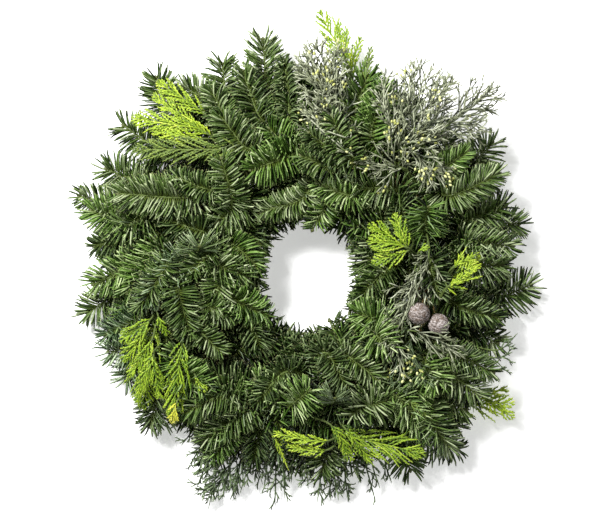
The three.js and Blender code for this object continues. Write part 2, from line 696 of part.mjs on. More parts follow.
// Side shoot of a fir stem, leaving it at a share of the way back from the needles' start
function sideCurve(curve, start, side) {
  const place = start * THREE.MathUtils.lerp(SIDE_LOWEST_PLACE, 1, side.from);
  const root = curve.getPointAt(place);
  const tip = new THREE.Vector3(...side.tip);
  const along = curve.getTangentAt(place).multiplyScalar(tip.distanceTo(root) * SIDE_BEND);
  const middle = root.clone().lerp(tip, 0.45).add(along);
  return new THREE.CatmullRomCurve3([root, middle, tip]);
}

// Corner points of the wire, turn by turn
function wireCorners() {
  const section = WIRE_SECTION_ANGLES.map((angle) => {
    const turned = THREE.MathUtils.degToRad(angle);
    const point = surfacePoint(0, turned, WIRE_OVER_STEMS);
    return { share: angle / 360, outward: point.x - RING_RADIUS, height: point.z };
  });
  section.unshift({ share: -0.14, outward: WIRE_UNDER_REACH, height: WIRE_UNDER_HEIGHT });
  section.push({ share: 0.64, outward: -WIRE_UNDER_REACH, height: WIRE_UNDER_HEIGHT });
  const corners = [];
  for (let turn = 0; turn < WIRE_TURNS; turn += 1) {
    for (const { share, outward, height } of section) {
      const ringAngle = THREE.MathUtils.degToRad(WIRE_START) + ((turn + share) * 2 * Math.PI) / WIRE_TURNS;
      corners.push(sectionPoint(ringAngle, outward, height));
    }
  }
  return corners;
}

function wireSolid(corners) {
  const steps = corners.length - 1;
  const shape = new THREE.CylinderGeometry(1, 1, 1, WIRE_SIDES, steps);
  const position = shape.attributes.position;
  for (let i = 0; i < position.count; i += 1) {
    const step = Math.round((position.getY(i) + 0.5) * steps);
    const point = corners[step].clone();
    const next = corners[Math.min(step + 1, steps)];
    const tangent = next.clone().sub(corners[Math.max(step - 1, 0)]).normalize();
    const across = new THREE.Vector3(-point.y, point.x, 0);
    across.addScaledVector(tangent, -across.dot(tangent)).normalize();
    const outward = tangent.clone().cross(across);
    point.addScaledVector(across, position.getX(i) * WIRE_RADIUS);
    point.addScaledVector(outward, -position.getZ(i) * WIRE_RADIUS);
    position.setXYZ(i, point.x, point.y, point.z);
  }
  return solidFrom(shape);
}

// Straw ring with a groove where each turn of the wire passes underneath
function ringSolid(corners) {
  const roundness = 2 / (1 + Math.cos(Math.PI / RING_SIDES));
  const profile = [];
  for (let i = 0; i <= RING_SECTION_STEPS; i += 1) {
    const corner = sectionCorner(i);
    profile.push(new THREE.Vector2((RING_RADIUS + corner.x) * roundness, corner.y));
  }
  profile.push(profile[0].clone());
  const shape = new THREE.LatheGeometry(profile, RING_SIDES);
  shape.rotateX(Math.PI / 2);
  const perTurn = corners.length / WIRE_TURNS;
  let solid = solidFrom(shape);
  for (let turn = 0; turn < WIRE_TURNS; turn += 1) {
    const inner = corners[turn * perTurn + perTurn - 1];
    const outer = corners[((turn + 1) % WIRE_TURNS) * perTurn];
    const groove = new THREE.BoxGeometry(GROOVE_LENGTH, GROOVE_WIDTH, GROOVE_DEPTH * 2);
    groove.rotateZ(Math.atan2(outer.y - inner.y, outer.x - inner.x));
    groove.translate((inner.x + outer.x) / 2, (inner.y + outer.y) / 2, 0);
    solid = solid.subtract(solidFrom(groove));
  }
  return solid;
}

// A round cone whose surface rises to a boss on each scale and sinks between scales
function coneSolid({ row, centre, curve }) {
  const bosses = [];
  for (let i = 0; i < SCALE_COUNT; i += 1) {
    const height = 1 - (2 * (i + 0.5)) / SCALE_COUNT;
    const flat = Math.sqrt(1 - height * height);
    bosses.push(new THREE.Vector3(
      flat * Math.cos(i * GOLDEN_ANGLE), flat * Math.sin(i * GOLDEN_ANGLE), height,
    ));
  }
  const shape = new THREE.IcosahedronGeometry(1, CONE_DETAIL);
  const position = shape.attributes.position;
  for (let i = 0; i < position.count; i += 1) {
    const direction = new THREE.Vector3().fromBufferAttribute(position, i).normalize();
    const angles = bosses.map((boss) => boss.angleTo(direction)).sort((a, b) => a - b);
    const sunk = 1 - Math.min(1, (angles[1] - angles[0]) / SCALE_GROOVE_ANGLE);
    const flat = Math.min(1, angles[0] / SCALE_BOSS_ANGLE);
    const height = 1 - SCALE_GROOVE_SHARE * sunk - SCALE_BOSS_SHARE * flat;
    direction.multiplyScalar(row.radius * height).add(centre);
    position.setXYZ(i, direction.x, direction.y, direction.z);
  }
  const stalk = solidFrom(bentBar(curve, STALK_PLACES, 4, () => STALK_RADIUS, 0, 0));
  return solidFrom(shape).add(stalk);
}

// All stems first, so that every leaf can keep clear of them
const shoots = FIR.map((row, index) => {
  const curve = stemCurve(row, STEM_RADIUS);
  const underWire = (2.5 * BUTT_LENGTH) / curve.getLength();
  const start = Math.max(underWire, leafStart(curve, row.base) - NEEDLES_BACK / curve.getLength());
  const parts = [{ curve, start, bareSteps: STEM_BARE_STEPS }];
  for (const side of row.sides ?? []) {
    parts.push({ curve: sideCurve(curve, start, side), start: SIDE_NEEDLES_START, bareSteps: 1 });
  }
  for (const part of parts) {
    const leafySteps = Math.round((part.curve.getLength() * (1 - part.start)) / NEEDLE_STEP);
    part.places = stepPlaces(part.curve, part.start, part.bareSteps, leafySteps);
    addCurveBars(row.name, part.curve, part.places, shootRadius, BUD_LENGTH);
  }
  return { row, parts, random: randomStream(100 + index) };
});

function sprayFrom(row, form, seed) {
  const curve = stemCurve(row, reachTowardsRing(row, form.stem));
  const start = leafStart(curve, row.base);
  const places = stepPlaces(curve, start, SPRAY_BARE_STEPS, row.pairs, BRANCHLET_ROOT);
  addCurveBars(row.name, curve, places, taperOf(form), form.bud);
  return { row, form, curve, places, random: randomStream(seed) };
}

const sprays = [
  ...GOLD.map((row, index) => sprayFrom(row, FROND, 300 + index)),
  ...GREY.map((row, index) => sprayFrom(row, TWIG, 400 + index)),
];

const cones = CONES.map((row) => {
  const centre = new THREE.Vector3(...row.centre);
  const base = [centre.x, centre.y, centre.z - row.radius * 1.7];
  const foot = [centre.x, centre.y, centre.z - row.radius * 0.6];
  const curve = stemCurve({ ...row, base, tip: foot }, STALK_RADIUS);
  addCurveBars(row.name, curve, STALK_PLACES, () => STALK_RADIUS, 1);
  addBar(row.name, centre, centre.clone().setZ(centre.z + 0.1), row.radius, row.radius);
  return { row, centre, curve };
});

const wireCornerPoints = wireCorners();
for (let i = 0; i + 1 < wireCornerPoints.length; i += 1) {
  addBar("binding_wire", wireCornerPoints[i], wireCornerPoints[i + 1], WIRE_RADIUS, WIRE_RADIUS);
}

// Assembly, moved so that the middle of the whole box underneath is the origin
const wreath = new THREE.Group();
wreath.add(meshFrom(ringSolid(wireCornerPoints), "straw_ring", COLOURS.straw, 0.95));
wreath.add(meshFrom(wireSolid(wireCornerPoints), "binding_wire", COLOURS.wire, 0.5, 0.4));
for (const cone of cones) {
  wreath.add(meshFrom(coneSolid(cone), cone.row.name, COLOURS.cone, 0.8));
}
for (const spray of sprays) {
  const { row, form } = spray;
  const colour = COLOURS[row.colour ?? (form === FROND ? "gold" : "greyGreen")];
  wreath.add(meshFrom(branchedSpray(row.name, spray), row.name, colour, 0.65));
}
for (const { row, parts, random } of shoots) {
  const pieces = parts.map((part) => needledShoot(row.name, part, random));
  wreath.add(meshFrom(wasm.Manifold.union(pieces), row.name, COLOURS[row.colour ?? "fir"], 0.6));
}

const box = new THREE.Box3().setFromObject(wreath);
wreath.position.set(-(box.min.x + box.max.x) / 2, -(box.min.y + box.max.y) / 2, -box.min.z);

export default wreath;
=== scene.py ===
# Fresh evergreen wreath lying on its flat back: its looks, in metres, +Z up.
import math
import bmesh
import bpy
import numpy as np
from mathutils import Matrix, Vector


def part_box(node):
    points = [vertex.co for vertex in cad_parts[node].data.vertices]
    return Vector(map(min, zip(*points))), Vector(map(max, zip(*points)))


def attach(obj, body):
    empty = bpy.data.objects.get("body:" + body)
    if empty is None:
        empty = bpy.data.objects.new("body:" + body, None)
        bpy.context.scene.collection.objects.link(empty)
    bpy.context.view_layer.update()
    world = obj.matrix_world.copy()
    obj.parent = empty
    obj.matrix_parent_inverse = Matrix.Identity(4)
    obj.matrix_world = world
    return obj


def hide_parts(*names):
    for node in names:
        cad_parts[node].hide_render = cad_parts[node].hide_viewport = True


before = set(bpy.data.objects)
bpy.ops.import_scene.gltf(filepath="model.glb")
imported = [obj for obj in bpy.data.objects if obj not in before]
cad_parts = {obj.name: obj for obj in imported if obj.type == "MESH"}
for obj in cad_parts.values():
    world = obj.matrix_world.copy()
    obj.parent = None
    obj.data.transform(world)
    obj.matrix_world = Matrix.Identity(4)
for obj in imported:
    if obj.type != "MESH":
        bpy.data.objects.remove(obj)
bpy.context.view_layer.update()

# Lengths are in millimetres from the ring's centre until the meshes are made
MM = 0.001
RING_RADIUS = 130
RING_HALF_WIDTH = 21
RING_HALF_HEIGHT = 20
RING_CENTRE_HEIGHT = 17
RING_SECTION_STEPS = 9
WIRE_TURNS = 20
WIRE_RADIUS = 0.7
WIRE_START = 4
WIRE_OVER_STEMS = 5.8
WIRE_SECTION_ANGLES = (-30, 0, 30, 60, 90, 120, 150, 180, 210)
WIRE_UNDER_REACH = 16
WIRE_UNDER_HEIGHT = 0.95
SEAT_GAP = 0.42
STEM_LIFT = 0.6
STEM_RADIUS = 1.8
BUTT_LENGTH = 9
NEEDLES_BACK = 22
GOLDEN_ANGLE = 2.39996
LOWEST = 0.8
HIGHEST = 115
EASE_FROM = 92
HOLE_MIDDLE = (3, -9)
HOLE_REACH = (40, 49)
SIDE_LOWEST_PLACE = 0.7
SIDE_BEND = 0.14
CURVE_POINTS = 101
TANGENT_STEP = 0.01
LOOSE_SEAT_BACK = 14
LOOSE_SEAT_SPREAD = RING_HALF_WIDTH * 1.6

# Where each kind of piece starts its random draws
SEEDS = {"fir": 100, "loose fir": 160, "gold": 300, "grey": 400, "loose sprays": 460, "cones": 500,
         "straw": 600, "under": 700}

# A seat is where a stem lies on the straw: degrees round the ring and round its section. The way,
# 1 or -1, is which way round the ring the stem runs from there.
# Fir shoots: seat, way, base, tip, colour, then the place and tip of each side shoot
FIR = [
    ((116, 22), 1, (-78, 160, 30), (-84, 203, 36), "fir", (0.45, (-122, 180, 26))),
    ((96, 34), 1, (-36, 158, 38), (-43, 228, 32), "fir"),
    ((114, 8), 1, (-135, 158, 14), (-150, 190, 14), "fir"),
    ((133, 12), 1, (-154, 124, 24), (-182, 142, 22), "fir"),
    ((148, 8), 1, (-174, 88, 18), (-199, 99, 18), "fir"),
    ((160, 24), 1, (-172, 43, 36), (-214, 57, 38), "lightFir", (0.5, (-202, 24, 20))),
    ((134, 84), 1, (-110, 72, 60), (-186, 74, 66), "fir"),
    ((160, 58), 1, (-142, 22, 48), (-178, -24, 46), "lightFir"),
    ((170, 96), 1, (-124, 6, 64), (-157, -30, 66), "glaucous"),
    ((184, 8), 1, (-184, -24, 14), (-218, -44, 12), "fir"),
    ((166, 118), 1, (-108, 15, 62), (-106, 21, 92), "fir"),
    ((186, 92), 1, (-122, -32, 60), (-112, -68, 66), "fir"),
    ((150, 158), 1, (-80, 32, 46), (-64, 8, 52), "fir"),
    ((190, 150), 1, (-82, -27, 46), (-54, -43, 54), "lightFir"),
    ((196, 20), 1, (-172, -80, 28), (-197, -84, 30), "glaucous", (0.5, (-180, -112, 24))),
    ((216, 8), 1, (-148, -130, 14), (-144, -152, 14), "fir"),
    ((208, 66), 1, (-128, -98, 56), (-102, -120, 62), "lightFir"),
    ((256, 96), -1, (-64, -118, 52), (-95, -108, 56), "darkFir", (0.4, (-94, -150, 42))),
    ((290, 74), 1, (62, -138, 62), (78, -132, 68), "fir", (0.55, (46, -147, 62))),
    ((258, 80), 1, (-16, -138, 58), (3, -122, 80), "lightFir", (0.6, (-50, -112, 56))),
    ((262, 160), 1, (-6, -98, 42), (-3, -74, 44), "darkFir", (0.5, (-24, -75, 40)), (0.7, (18, -76, 40))),
    ((322, 146), 1, (78, -56, 56), (54, -46, 60), "lightFir"),
    ((36, 160), -1, (75, 36, 42), (58, -16, 44), "fir"),
    ((34, 106), 1, (92, 78, 56), (53, 80, 62), "fir"),
    ((84, 156), 1, (4, 88, 44), (4, 66, 50), "fir"),
    ((122, 142), 1, (-60, 66, 54), (-88, 46, 62), "fir"),
    ((88, 98), 1, (-16, 112, 62), (-54, 98, 72), "lightFir", (0.5, (-36, 138, 62))),
    ((66, 52), 1, (46, 138, 50), (61, 192, 44), "lightFir", (0.5, (82, 164, 48))),
    ((26, 14), 1, (160, 96, 24), (186, 124, 24), "fir", (0.4, (186, 86, 30))),
    ((12, 36), 1, (162, 46, 40), (197, 61, 38), "fir", (0.35, (212, 44, 26))),
    ((346, 8), 1, (188, -31, 15), (225, -17, 16), "fir"),
    ((332, 16), 1, (166, -66, 26), (191, -75, 26), "fir"),
    ((12, 78), 1, (119, 34, 56), (122, 60, 84), "lightFir"),
    ((312, 128), 1, (68, -64, 66), (82, -79, 74), "lightFir"),
    ((330, 50), -1, (118, -92, 58), (131, -115, 62), "lightFir", (0.4, (104, -148, 46))),
    ((314, 18), -1, (124, -130, 28), (160, -141, 30), "fir", (0.4, (150, -158, 18))),
    ((292, 8), 1, (92, -168, 16), (104, -202, 16), "fir", (0.35, (150, -182, 14))),
    ((276, 14), 1, (24, -170, 31), (16, -202, 32), "fir"),
]

# Cypress sprays: seat, way, base, tip, colour, width, and on grey ones the number of clusters of
# pollen cones
GOLD = [
    ((112, 50), 1, (-98, 152, 46), (-150, 187, 42), "gold", 24),
    ((124, 70), 1, (-96, 135, 58), (-175, 150, 52), "gold", 29),
    ((118, 78), 1, (-66, 118, 66), (-174, 118, 66), "goldGreen", 28),
    ((192, 48), 1, (-152, -50, 56), (-164, -142, 48), "deepGold", 44),
    ((202, 76), 1, (-122, -70, 68), (-134, -153, 60), "deepGold", 28),
    ((294, 30), -1, (14, -160, 34), (-34, -170, 42), "gold", 30),
    ((270, 40), 1, (28, -160, 48), (120, -187, 52), "deepGold", 38),
    ((308, 6), 1, (150, -134, 20), (210, -135, 26), "gold", 30),
    ((352, 106), 1, (100, 20, 66), (62, 44, 78), "deepGold", 40),
    ((344, 60), 1, (144, -20, 56), (174, 14, 58), "gold", 18),
    ((72, 14), 1, (46, 180, 30), (13, 259, 34), "deepGold", 26),
]
GREY = [
    ((64, 84), 1, (40, 116, 66), (14, 224, 66), "grey", 62, 3),
    ((40, 70), 1, (92, 102, 66), (126, 200, 62), "grey", 76, 2),
    ((36, 50), 1, (104, 112, 50), (188, 180, 52), "grey", 60, 1),
    ((0, 96), -1, (126, 10, 68), (92, -60, 72), "grey", 40, 0),
    ((326, 100), -1, (104, -64, 60), (104, -122, 68), "darkGreen", 44, 2),
    ((246, 16), 1, (-66, -176, 20), (-95, -229, 12), "darkGreen", 56, 0),
    ((262, 8), 1, (22, -192, 14), (32, -226, 12), "darkGreen", 56, 0),
]

# Seed cones: seat, way, centre, radius
CONES = [
    ((334, 82), 1, (112.5, -45.3, 80), 11.6),
    ((336, 66), 1, (132.2, -56, 75.6), 11.2),
]

# More fir shoots, gold and grey sprays that only show here: base and tip, then the rest as above
LOOSE_FIR = {
    "fir": [
        (-74, 63, 66, -84, 108, 82), (-66, 128, 52, -94, 176, 50), (-44, 148, 54, -63, 196, 44),
        (0, 72, 62, -44, 56, 58), (-56, 118, 66, -84, 150, 68), (-91, 78, 72, -128, 90, 70),
        (-188, 63, 30, -226, 72, 26), (-156, 53, 48, -194, 36, 40), (12, 118, 50, -6, 156, 52),
        (142, 72, 62, 192, 94, 52), (-91, 23, 70, -118, -7, 76), (-84, 6, 66, -94, -44, 70),
        (-61, 6, 50, -48, -14, 48), (-106, -62, 72, -84, -84, 74), (-56, -140, 54, -101, -172, 44),
        (-81, -127, 60, -120, -144, 54), (144, -87, 60, 186, -104, 46), (139, -104, 54, 172, -127, 42),
        (144, -32, 60, 192, -50, 50), (39, -87, 64, 72, -112, 68), (164, 6, 50, 196, 2, 40),
        (80, -2, 54, 52, -32, 50), (164, 28, 52, 206, 22, 40), (126, -152, 46, 142, -178, 32),
        (-100, -37, 74, -75, -49, 70), (-128, -20, 78, -115, -67, 74), (-140, 2, 76, -165, -37, 68),
        (-91, 6, 72, -60, -8, 66), (28, 98, 76, -4, 112, 84), (46, 106, 80, 26, 150, 90),
    ],
    "lightFir": [
        (46, 72, 66, 12, 84, 64), (66, 128, 60, 78, 180, 54), (130, 98, 60, 160, 116, 56),
        (-178, 0, 40, -212, -16, 32), (89, -127, 56, 119, -164, 42), (20, 63, 58, 7, 39, 52),
        (-78, -30, 68, -39, -47, 58), (-70, 22, 66, -48, 0, 60), (-66, -154, 48, -92, -188, 38),
    ],
    "glaucous": [
        (-171, -52, 38, -200, -67, 30), (-30, -156, 40, -30, -190, 30),
    ],
    "darkFir": [
        (-20, 143, 56, -21, 206, 44), (24, 90, 50, 6, 128, 58), (106, 28, 52, 92, 72, 58),
        (-176, 32, 42, -211, 22, 34), (-56, -57, 56, -44, -82, 52), (-21, -104, 62, -48, -134, 64),
        (39, -84, 48, 24, -54, 46), (19, -84, 60, 39, -117, 66), (24, -136, 50, 29, -130, 84),
        (-24, -87, 44, -30, -68, 40), (6, -84, 42, 12, -68, 40), (-146, -112, 42, -156, -157, 28),
        (-101, 36, 66, -138, 48, 64), (46, 96, 54, 22, 120, 58), (124, 6, 66, 132, -28, 72),
        (94, -77, 60, 66, -84, 62), (-91, -170, 34, -100, -190, 24), (38, 108, 78, 4, 134, 88),
        (-48, -152, 46, -52, -192, 34),
    ],
}
# A sparse shoot that hangs over the hole's upper edge: base and tip
HANGING = ((12, 64, 30), (7, 49, 40))
LOOSE_GOLD = {
    "gold": [
        (46, 194, 38, 55, 232, 38, 10), (-110, -108, 68, -100, -124, 72, 9),
        (-94, 132, 60, -154, 174, 50, 20), (-100, 129, 62, -156, 137, 56, 16),
        (24, -172, 64, -33, -165, 62, 14), (23, -181, 60, -20, -179, 56, 13),
        (-34, -166, 58, -17, -203, 42, 5), (146, 0, 84, 173, 16, 88, 6), (147, 0, 84, 160, 21, 86, 5),
        (148, 2, 84, 170, 9, 87, 4), (141, -19, 84, 176, -8, 88, 5), (141, -19, 84, 175, 2, 89, 7),
        (141, -19, 83, 161, -21, 85, 4), (141, -19, 83, 150, -27, 84, 3),
        (178, -127, 28, 209, -151, 24, 13), (174, -124, 30, 204, -121, 28, 10),
    ],
    "deepGold": [
        (103, 18, 86, 65, 6, 88, 20), (102, 20, 86, 88, 55, 86, 16), (102, 20, 88, 60, 27, 90, 26),
        (112, 16, 78, 122, 23, 82, 8), (-154, -50, 70, -186, -74, 60, 22),
        (-160, -62, 68, -184, -94, 56, 18), (24, -156, 66, 46, -193, 54, 14),
        (39, -160, 66, 66, -195, 54, 12), (-153, -70, 72, -177, -110, 60, 16),
        (-152, -84, 72, -170, -136, 58, 14), (-152, -86, 72, -145, -132, 62, 14),
        (-148, -46, 74, -138, -68, 70, 9), (42, 206, 38, 40, 244, 38, 8), (38, 212, 38, 32, 251, 38, 8),
    ],
    "amber": [
        (-129, -134, 72, -133, -156, 66, 12),
    ],
    "goldGreen": [
        (60, 184, 46, 65, 223, 40, 10), (99, -132, 60, 126, -152, 56, 8),
    ],
}
LOOSE_GREY = {
    "grey": [
        (45, 112, 90, -9, 160, 96, 9, 1), (44, 128, 92, 16, 138, 96, 6, 1),
        (102, -62, 72, 154, -82, 76, 36, 0), (89, -52, 68, 94, -107, 74, 34, 2),
        (92, 102, 74, 56, 100, 76, 40, 3), (104, 118, 74, 134, 86, 76, 40, 3),
        (39, 138, 72, -6, 158, 76, 36, 3), (34, 168, 72, -10, 196, 70, 34, 3),
        (94, 128, 74, 86, 186, 68, 40, 1), (122, 10, 86, 93, -58, 82, 14, 0),
        (114, 6, 84, 98, -50, 84, 12, 0), (108, -2, 82, 90, -67, 78, 12, 0),
        (134, 138, 72, 188, 178, 58, 26, 0), (134, 136, 72, 180, 150, 60, 22, 0),
        (94, 118, 78, 124, 150, 80, 30, 3), (89, 103, 78, 82, 140, 80, 26, 3),
        (124, 118, 78, 138, 90, 76, 24, 3), (96, 100, 76, 70, 82, 74, 26, 3),
        (29, 153, 76, 6, 226, 66, 34, 1), (19, 163, 78, -6, 208, 72, 26, 3),
        (24, 158, 74, 32, 220, 66, 26, 0), (39, 128, 76, 10, 146, 80, 20, 2),
        (109, 128, 76, 104, 192, 66, 36, 1), (119, 133, 76, 146, 190, 64, 34, 0),
    ],
    "darkGreen": [
        (-111, -157, 32, -125, -178, 26, 16, 0), (-101, -167, 30, -118, -200, 20, 18, 0),
        (-94, -172, 30, -110, -222, 18, 20, 0), (-84, -182, 28, -98, -242, 14, 22, 0),
        (-74, -180, 30, -84, -232, 16, 20, 0), (-64, -182, 28, -74, -229, 16, 18, 0),
        (-56, -184, 28, -66, -226, 14, 16, 0), (-48, -182, 26, -52, -213, 16, 16, 0),
        (-40, -182, 26, -42, -222, 14, 16, 0), (-34, -180, 26, -31, -242, 12, 22, 0),
        (-24, -182, 26, -21, -232, 12, 18, 0), (-12, -184, 24, -15, -216, 14, 16, 0),
        (-1, -187, 22, -6, -212, 14, 16, 0), (19, -194, 22, 11, -236, 12, 20, 0),
        (29, -194, 22, 24, -222, 12, 16, 0), (39, -194, 22, 42, -233, 12, 18, 0),
        (50, -192, 22, 55, -216, 12, 16, 0), (58, -190, 22, 70, -235, 12, 18, 0),
        (66, -188, 22, 74, -221, 12, 16, 0), (192, -82, 46, 212, -65, 40, 16, 0),
        (190, -90, 44, 207, -84, 38, 16, 0), (184, -104, 42, 201, -100, 36, 16, 0),
        (-96, -164, 32, -92, -204, 24, 18, 0), (-71, -172, 32, -60, -208, 24, 18, 0),
        (-101, -162, 34, -107, -208, 26, 18, 0), (-84, -172, 32, -80, -214, 22, 18, 0),
        (-56, -177, 30, -48, -204, 24, 18, 0), (4, -184, 28, 2, -222, 16, 18, 0),
        (34, -187, 28, 32, -220, 16, 18, 0), (79, -190, 24, 86, -216, 14, 16, 0),
    ],
}

# Fir that covers the ring under the shoots above: name, count, seat's section angle, what its reach
# is measured from, reach and height of base and tip, degrees that a shoot runs round, needles a
# millimetre
UNDER = [
    ("outer_low", 30, 10, "centre", (163, 14), (196, 12), 9, 1.35),
    ("outer_high", 28, 44, "centre", (160, 34), (192, 30), 12, 1.5),
    ("top", 28, 86, "centre", (138, 43), (164, 50), 18, 1.6),
    ("inner_high", 24, 120, "hole", (48, 44), (20, 46), 18, 1.6),
    ("inner_low", 24, 156, "hole", (38, 26), (15, 26), 15, 1.35),
]


def seeded(kind, number=0):
    return np.random.default_rng(SEEDS[kind] + number)


def unit(vectors):
    return vectors / np.maximum(np.linalg.norm(vectors, axis=-1, keepdims=True), 1e-9)


def lerp(a, b, share):
    return a + (b - a) * share


def within_height(points):
    """Keeps points above the floor and eases them in under the greatest height."""
    height = points[..., 2]
    over = np.maximum(height - EASE_FROM, 0)
    eased = EASE_FROM + (HIGHEST - EASE_FROM) * (1 - np.exp(-over / (HIGHEST - EASE_FROM)))
    height = np.where(height > EASE_FROM, eased, np.maximum(height, LOWEST))
    return np.concatenate([points[..., :2], height[..., None]], -1)


class Curve:
    """A smooth line through points, read at shares of its length."""

    def __init__(self, points):
        points = np.array(points, float)
        before, after = 2 * points[:1] - points[1:2], 2 * points[-1:] - points[-2:-1]
        points = np.concatenate([before, points, after])
        gaps = np.maximum(np.linalg.norm(np.diff(points, axis=0), axis=1) ** 0.5, 1e-3)
        last = len(points) - 3
        place = np.linspace(0, last, CURVE_POINTS)
        index = np.minimum(place.astype(int), last - 1)
        share = (place - index)[:, None]
        four = [points[index + k] for k in range(4)]
        gap = [gaps[index + k][:, None] for k in range(3)]
        slopes = []
        for k in (0, 1):
            slope = (four[k + 1] - four[k]) / gap[k] + (four[k + 2] - four[k + 1]) / gap[k + 1]
            slopes.append((slope - (four[k + 2] - four[k]) / (gap[k] + gap[k + 1])) * gap[1])
        start, end = four[1], four[2]
        square = -3 * start + 3 * end - 2 * slopes[0] - slopes[1]
        cube = 2 * start - 2 * end + slopes[0] + slopes[1]
        self.dense = start + slopes[0] * share + square * share**2 + cube * share**3
        steps = np.linalg.norm(np.diff(self.dense, axis=0), axis=1)
        self.run = np.concatenate([[0], np.cumsum(steps)])
        self.length = self.run[-1]

    def at(self, share):
        run = np.clip(share, 0, 1) * self.length
        return np.stack([np.interp(run, self.run, self.dense[:, i]) for i in range(3)], -1)

    def tangent(self, share):
        after, before = np.minimum(share + TANGENT_STEP, 1), np.maximum(share - TANGENT_STEP, 0)
        return unit(self.at(after) - self.at(before))

    def nearest(self, goal):
        gaps = np.linalg.norm(self.dense - np.array(goal), axis=1)
        return self.run[gaps.argmin()] / self.length


# Where things are on the ring
FLAT_ANGLE = math.asin(RING_CENTRE_HEIGHT / RING_HALF_HEIGHT)


def section_corner(index):
    angle = -FLAT_ANGLE + (math.pi + 2 * FLAT_ANGLE) * index / RING_SECTION_STEPS
    height = RING_CENTRE_HEIGHT + RING_HALF_HEIGHT * math.sin(angle)
    return np.array([RING_HALF_WIDTH * math.cos(angle), height])


def on_ring(ring_angle, outward, height):
    reach = RING_RADIUS + outward
    return np.array([reach * math.cos(ring_angle), reach * math.sin(ring_angle), height])


def surface_point(ring_angle, section_angle, offset):
    along = (section_angle + FLAT_ANGLE) / (math.pi + 2 * FLAT_ANGLE) * RING_SECTION_STEPS
    index = min(max(int(along), 0), RING_SECTION_STEPS - 1)
    start, end = section_corner(index), section_corner(index + 1)
    side = end - start
    normal = np.array([side[1], -side[0]]) / np.linalg.norm(side)
    point = start + side * (along - index) + normal * offset
    return on_ring(ring_angle, point[0], point[1])


def ring_gap(points):
    outward = (np.hypot(points[..., 0], points[..., 1]) - RING_RADIUS) / RING_HALF_WIDTH
    upward = (points[..., 2] - RING_CENTRE_HEIGHT) / RING_HALF_HEIGHT
    return (np.hypot(outward, upward) - 1) * RING_HALF_HEIGHT


def hole_gap(points):
    outward = (points[..., :2] - HOLE_MIDDLE) / HOLE_REACH
    return np.hypot(outward[..., 0], outward[..., 1]) - 1


def hole_edge(ring_angle):
    """About how far the hole's edge is from the ring's centre."""
    across, up = math.cos(ring_angle), math.sin(ring_angle)
    shift = HOLE_MIDDLE[0] * across + HOLE_MIDDLE[1] * up
    return shift + 1 / math.hypot(across / HOLE_REACH[0], up / HOLE_REACH[1])


def nearest_crossing(seat):
    pitch = 360 / WIRE_TURNS
    first = WIRE_START + seat[1] / 360 * pitch
    return math.radians(first + round((seat[0] - first) / pitch) * pitch)


def seat_for(base, tip):
    """A seat behind a shoot's base, and which way round the ring the shoot runs."""
    way = 1 if base[0] * tip[1] - base[1] * tip[0] > 0 else -1
    outward = (math.hypot(base[0], base[1]) - RING_RADIUS) / LOOSE_SEAT_SPREAD
    section = math.degrees(math.acos(min(max(outward, -0.9), 0.95)))
    return (math.degrees(math.atan2(base[1], base[0])) - way * LOOSE_SEAT_BACK, section), way


def stem_curve(seat, way, radius, *places):
    section_angle = math.radians(seat[1])
    crossing = nearest_crossing(seat)
    offset = SEAT_GAP + radius
    step = way * BUTT_LENGTH / RING_RADIUS
    points = [
        surface_point(crossing - step, section_angle, offset),
        surface_point(crossing, section_angle, offset),
        surface_point(crossing + step, section_angle, offset + STEM_LIFT),
    ]
    return Curve(points + [np.array(place, float) for place in places])


def across_stem(tangent):
    """Directions across a stem: level and upright, square to its run."""
    level = np.cross([0, 0, 1.0], tangent)
    level = np.where(np.linalg.norm(level, axis=-1, keepdims=True) < 0.3, [1.0, 0, 0], level)
    level = unit(level)
    return level, unit(np.cross(tangent, level))


# Sections of strands: across and up, round from the left edge, with how far under each corner is
BLADE = ((-1, 0.35, 0), (0, -0.9, 1), (1, 0.35, 0))
LENS = ((-1, 0, 0.3), (0, -1, 1), (1, 0, 0.3), (0, 1, 0))
SIX = tuple((-math.cos(i * math.pi / 3), -math.sin(i * math.pi / 3), 0) for i in range(6))
MAP_MARGIN = 0.02
COLUMN_MARGIN = 0.1


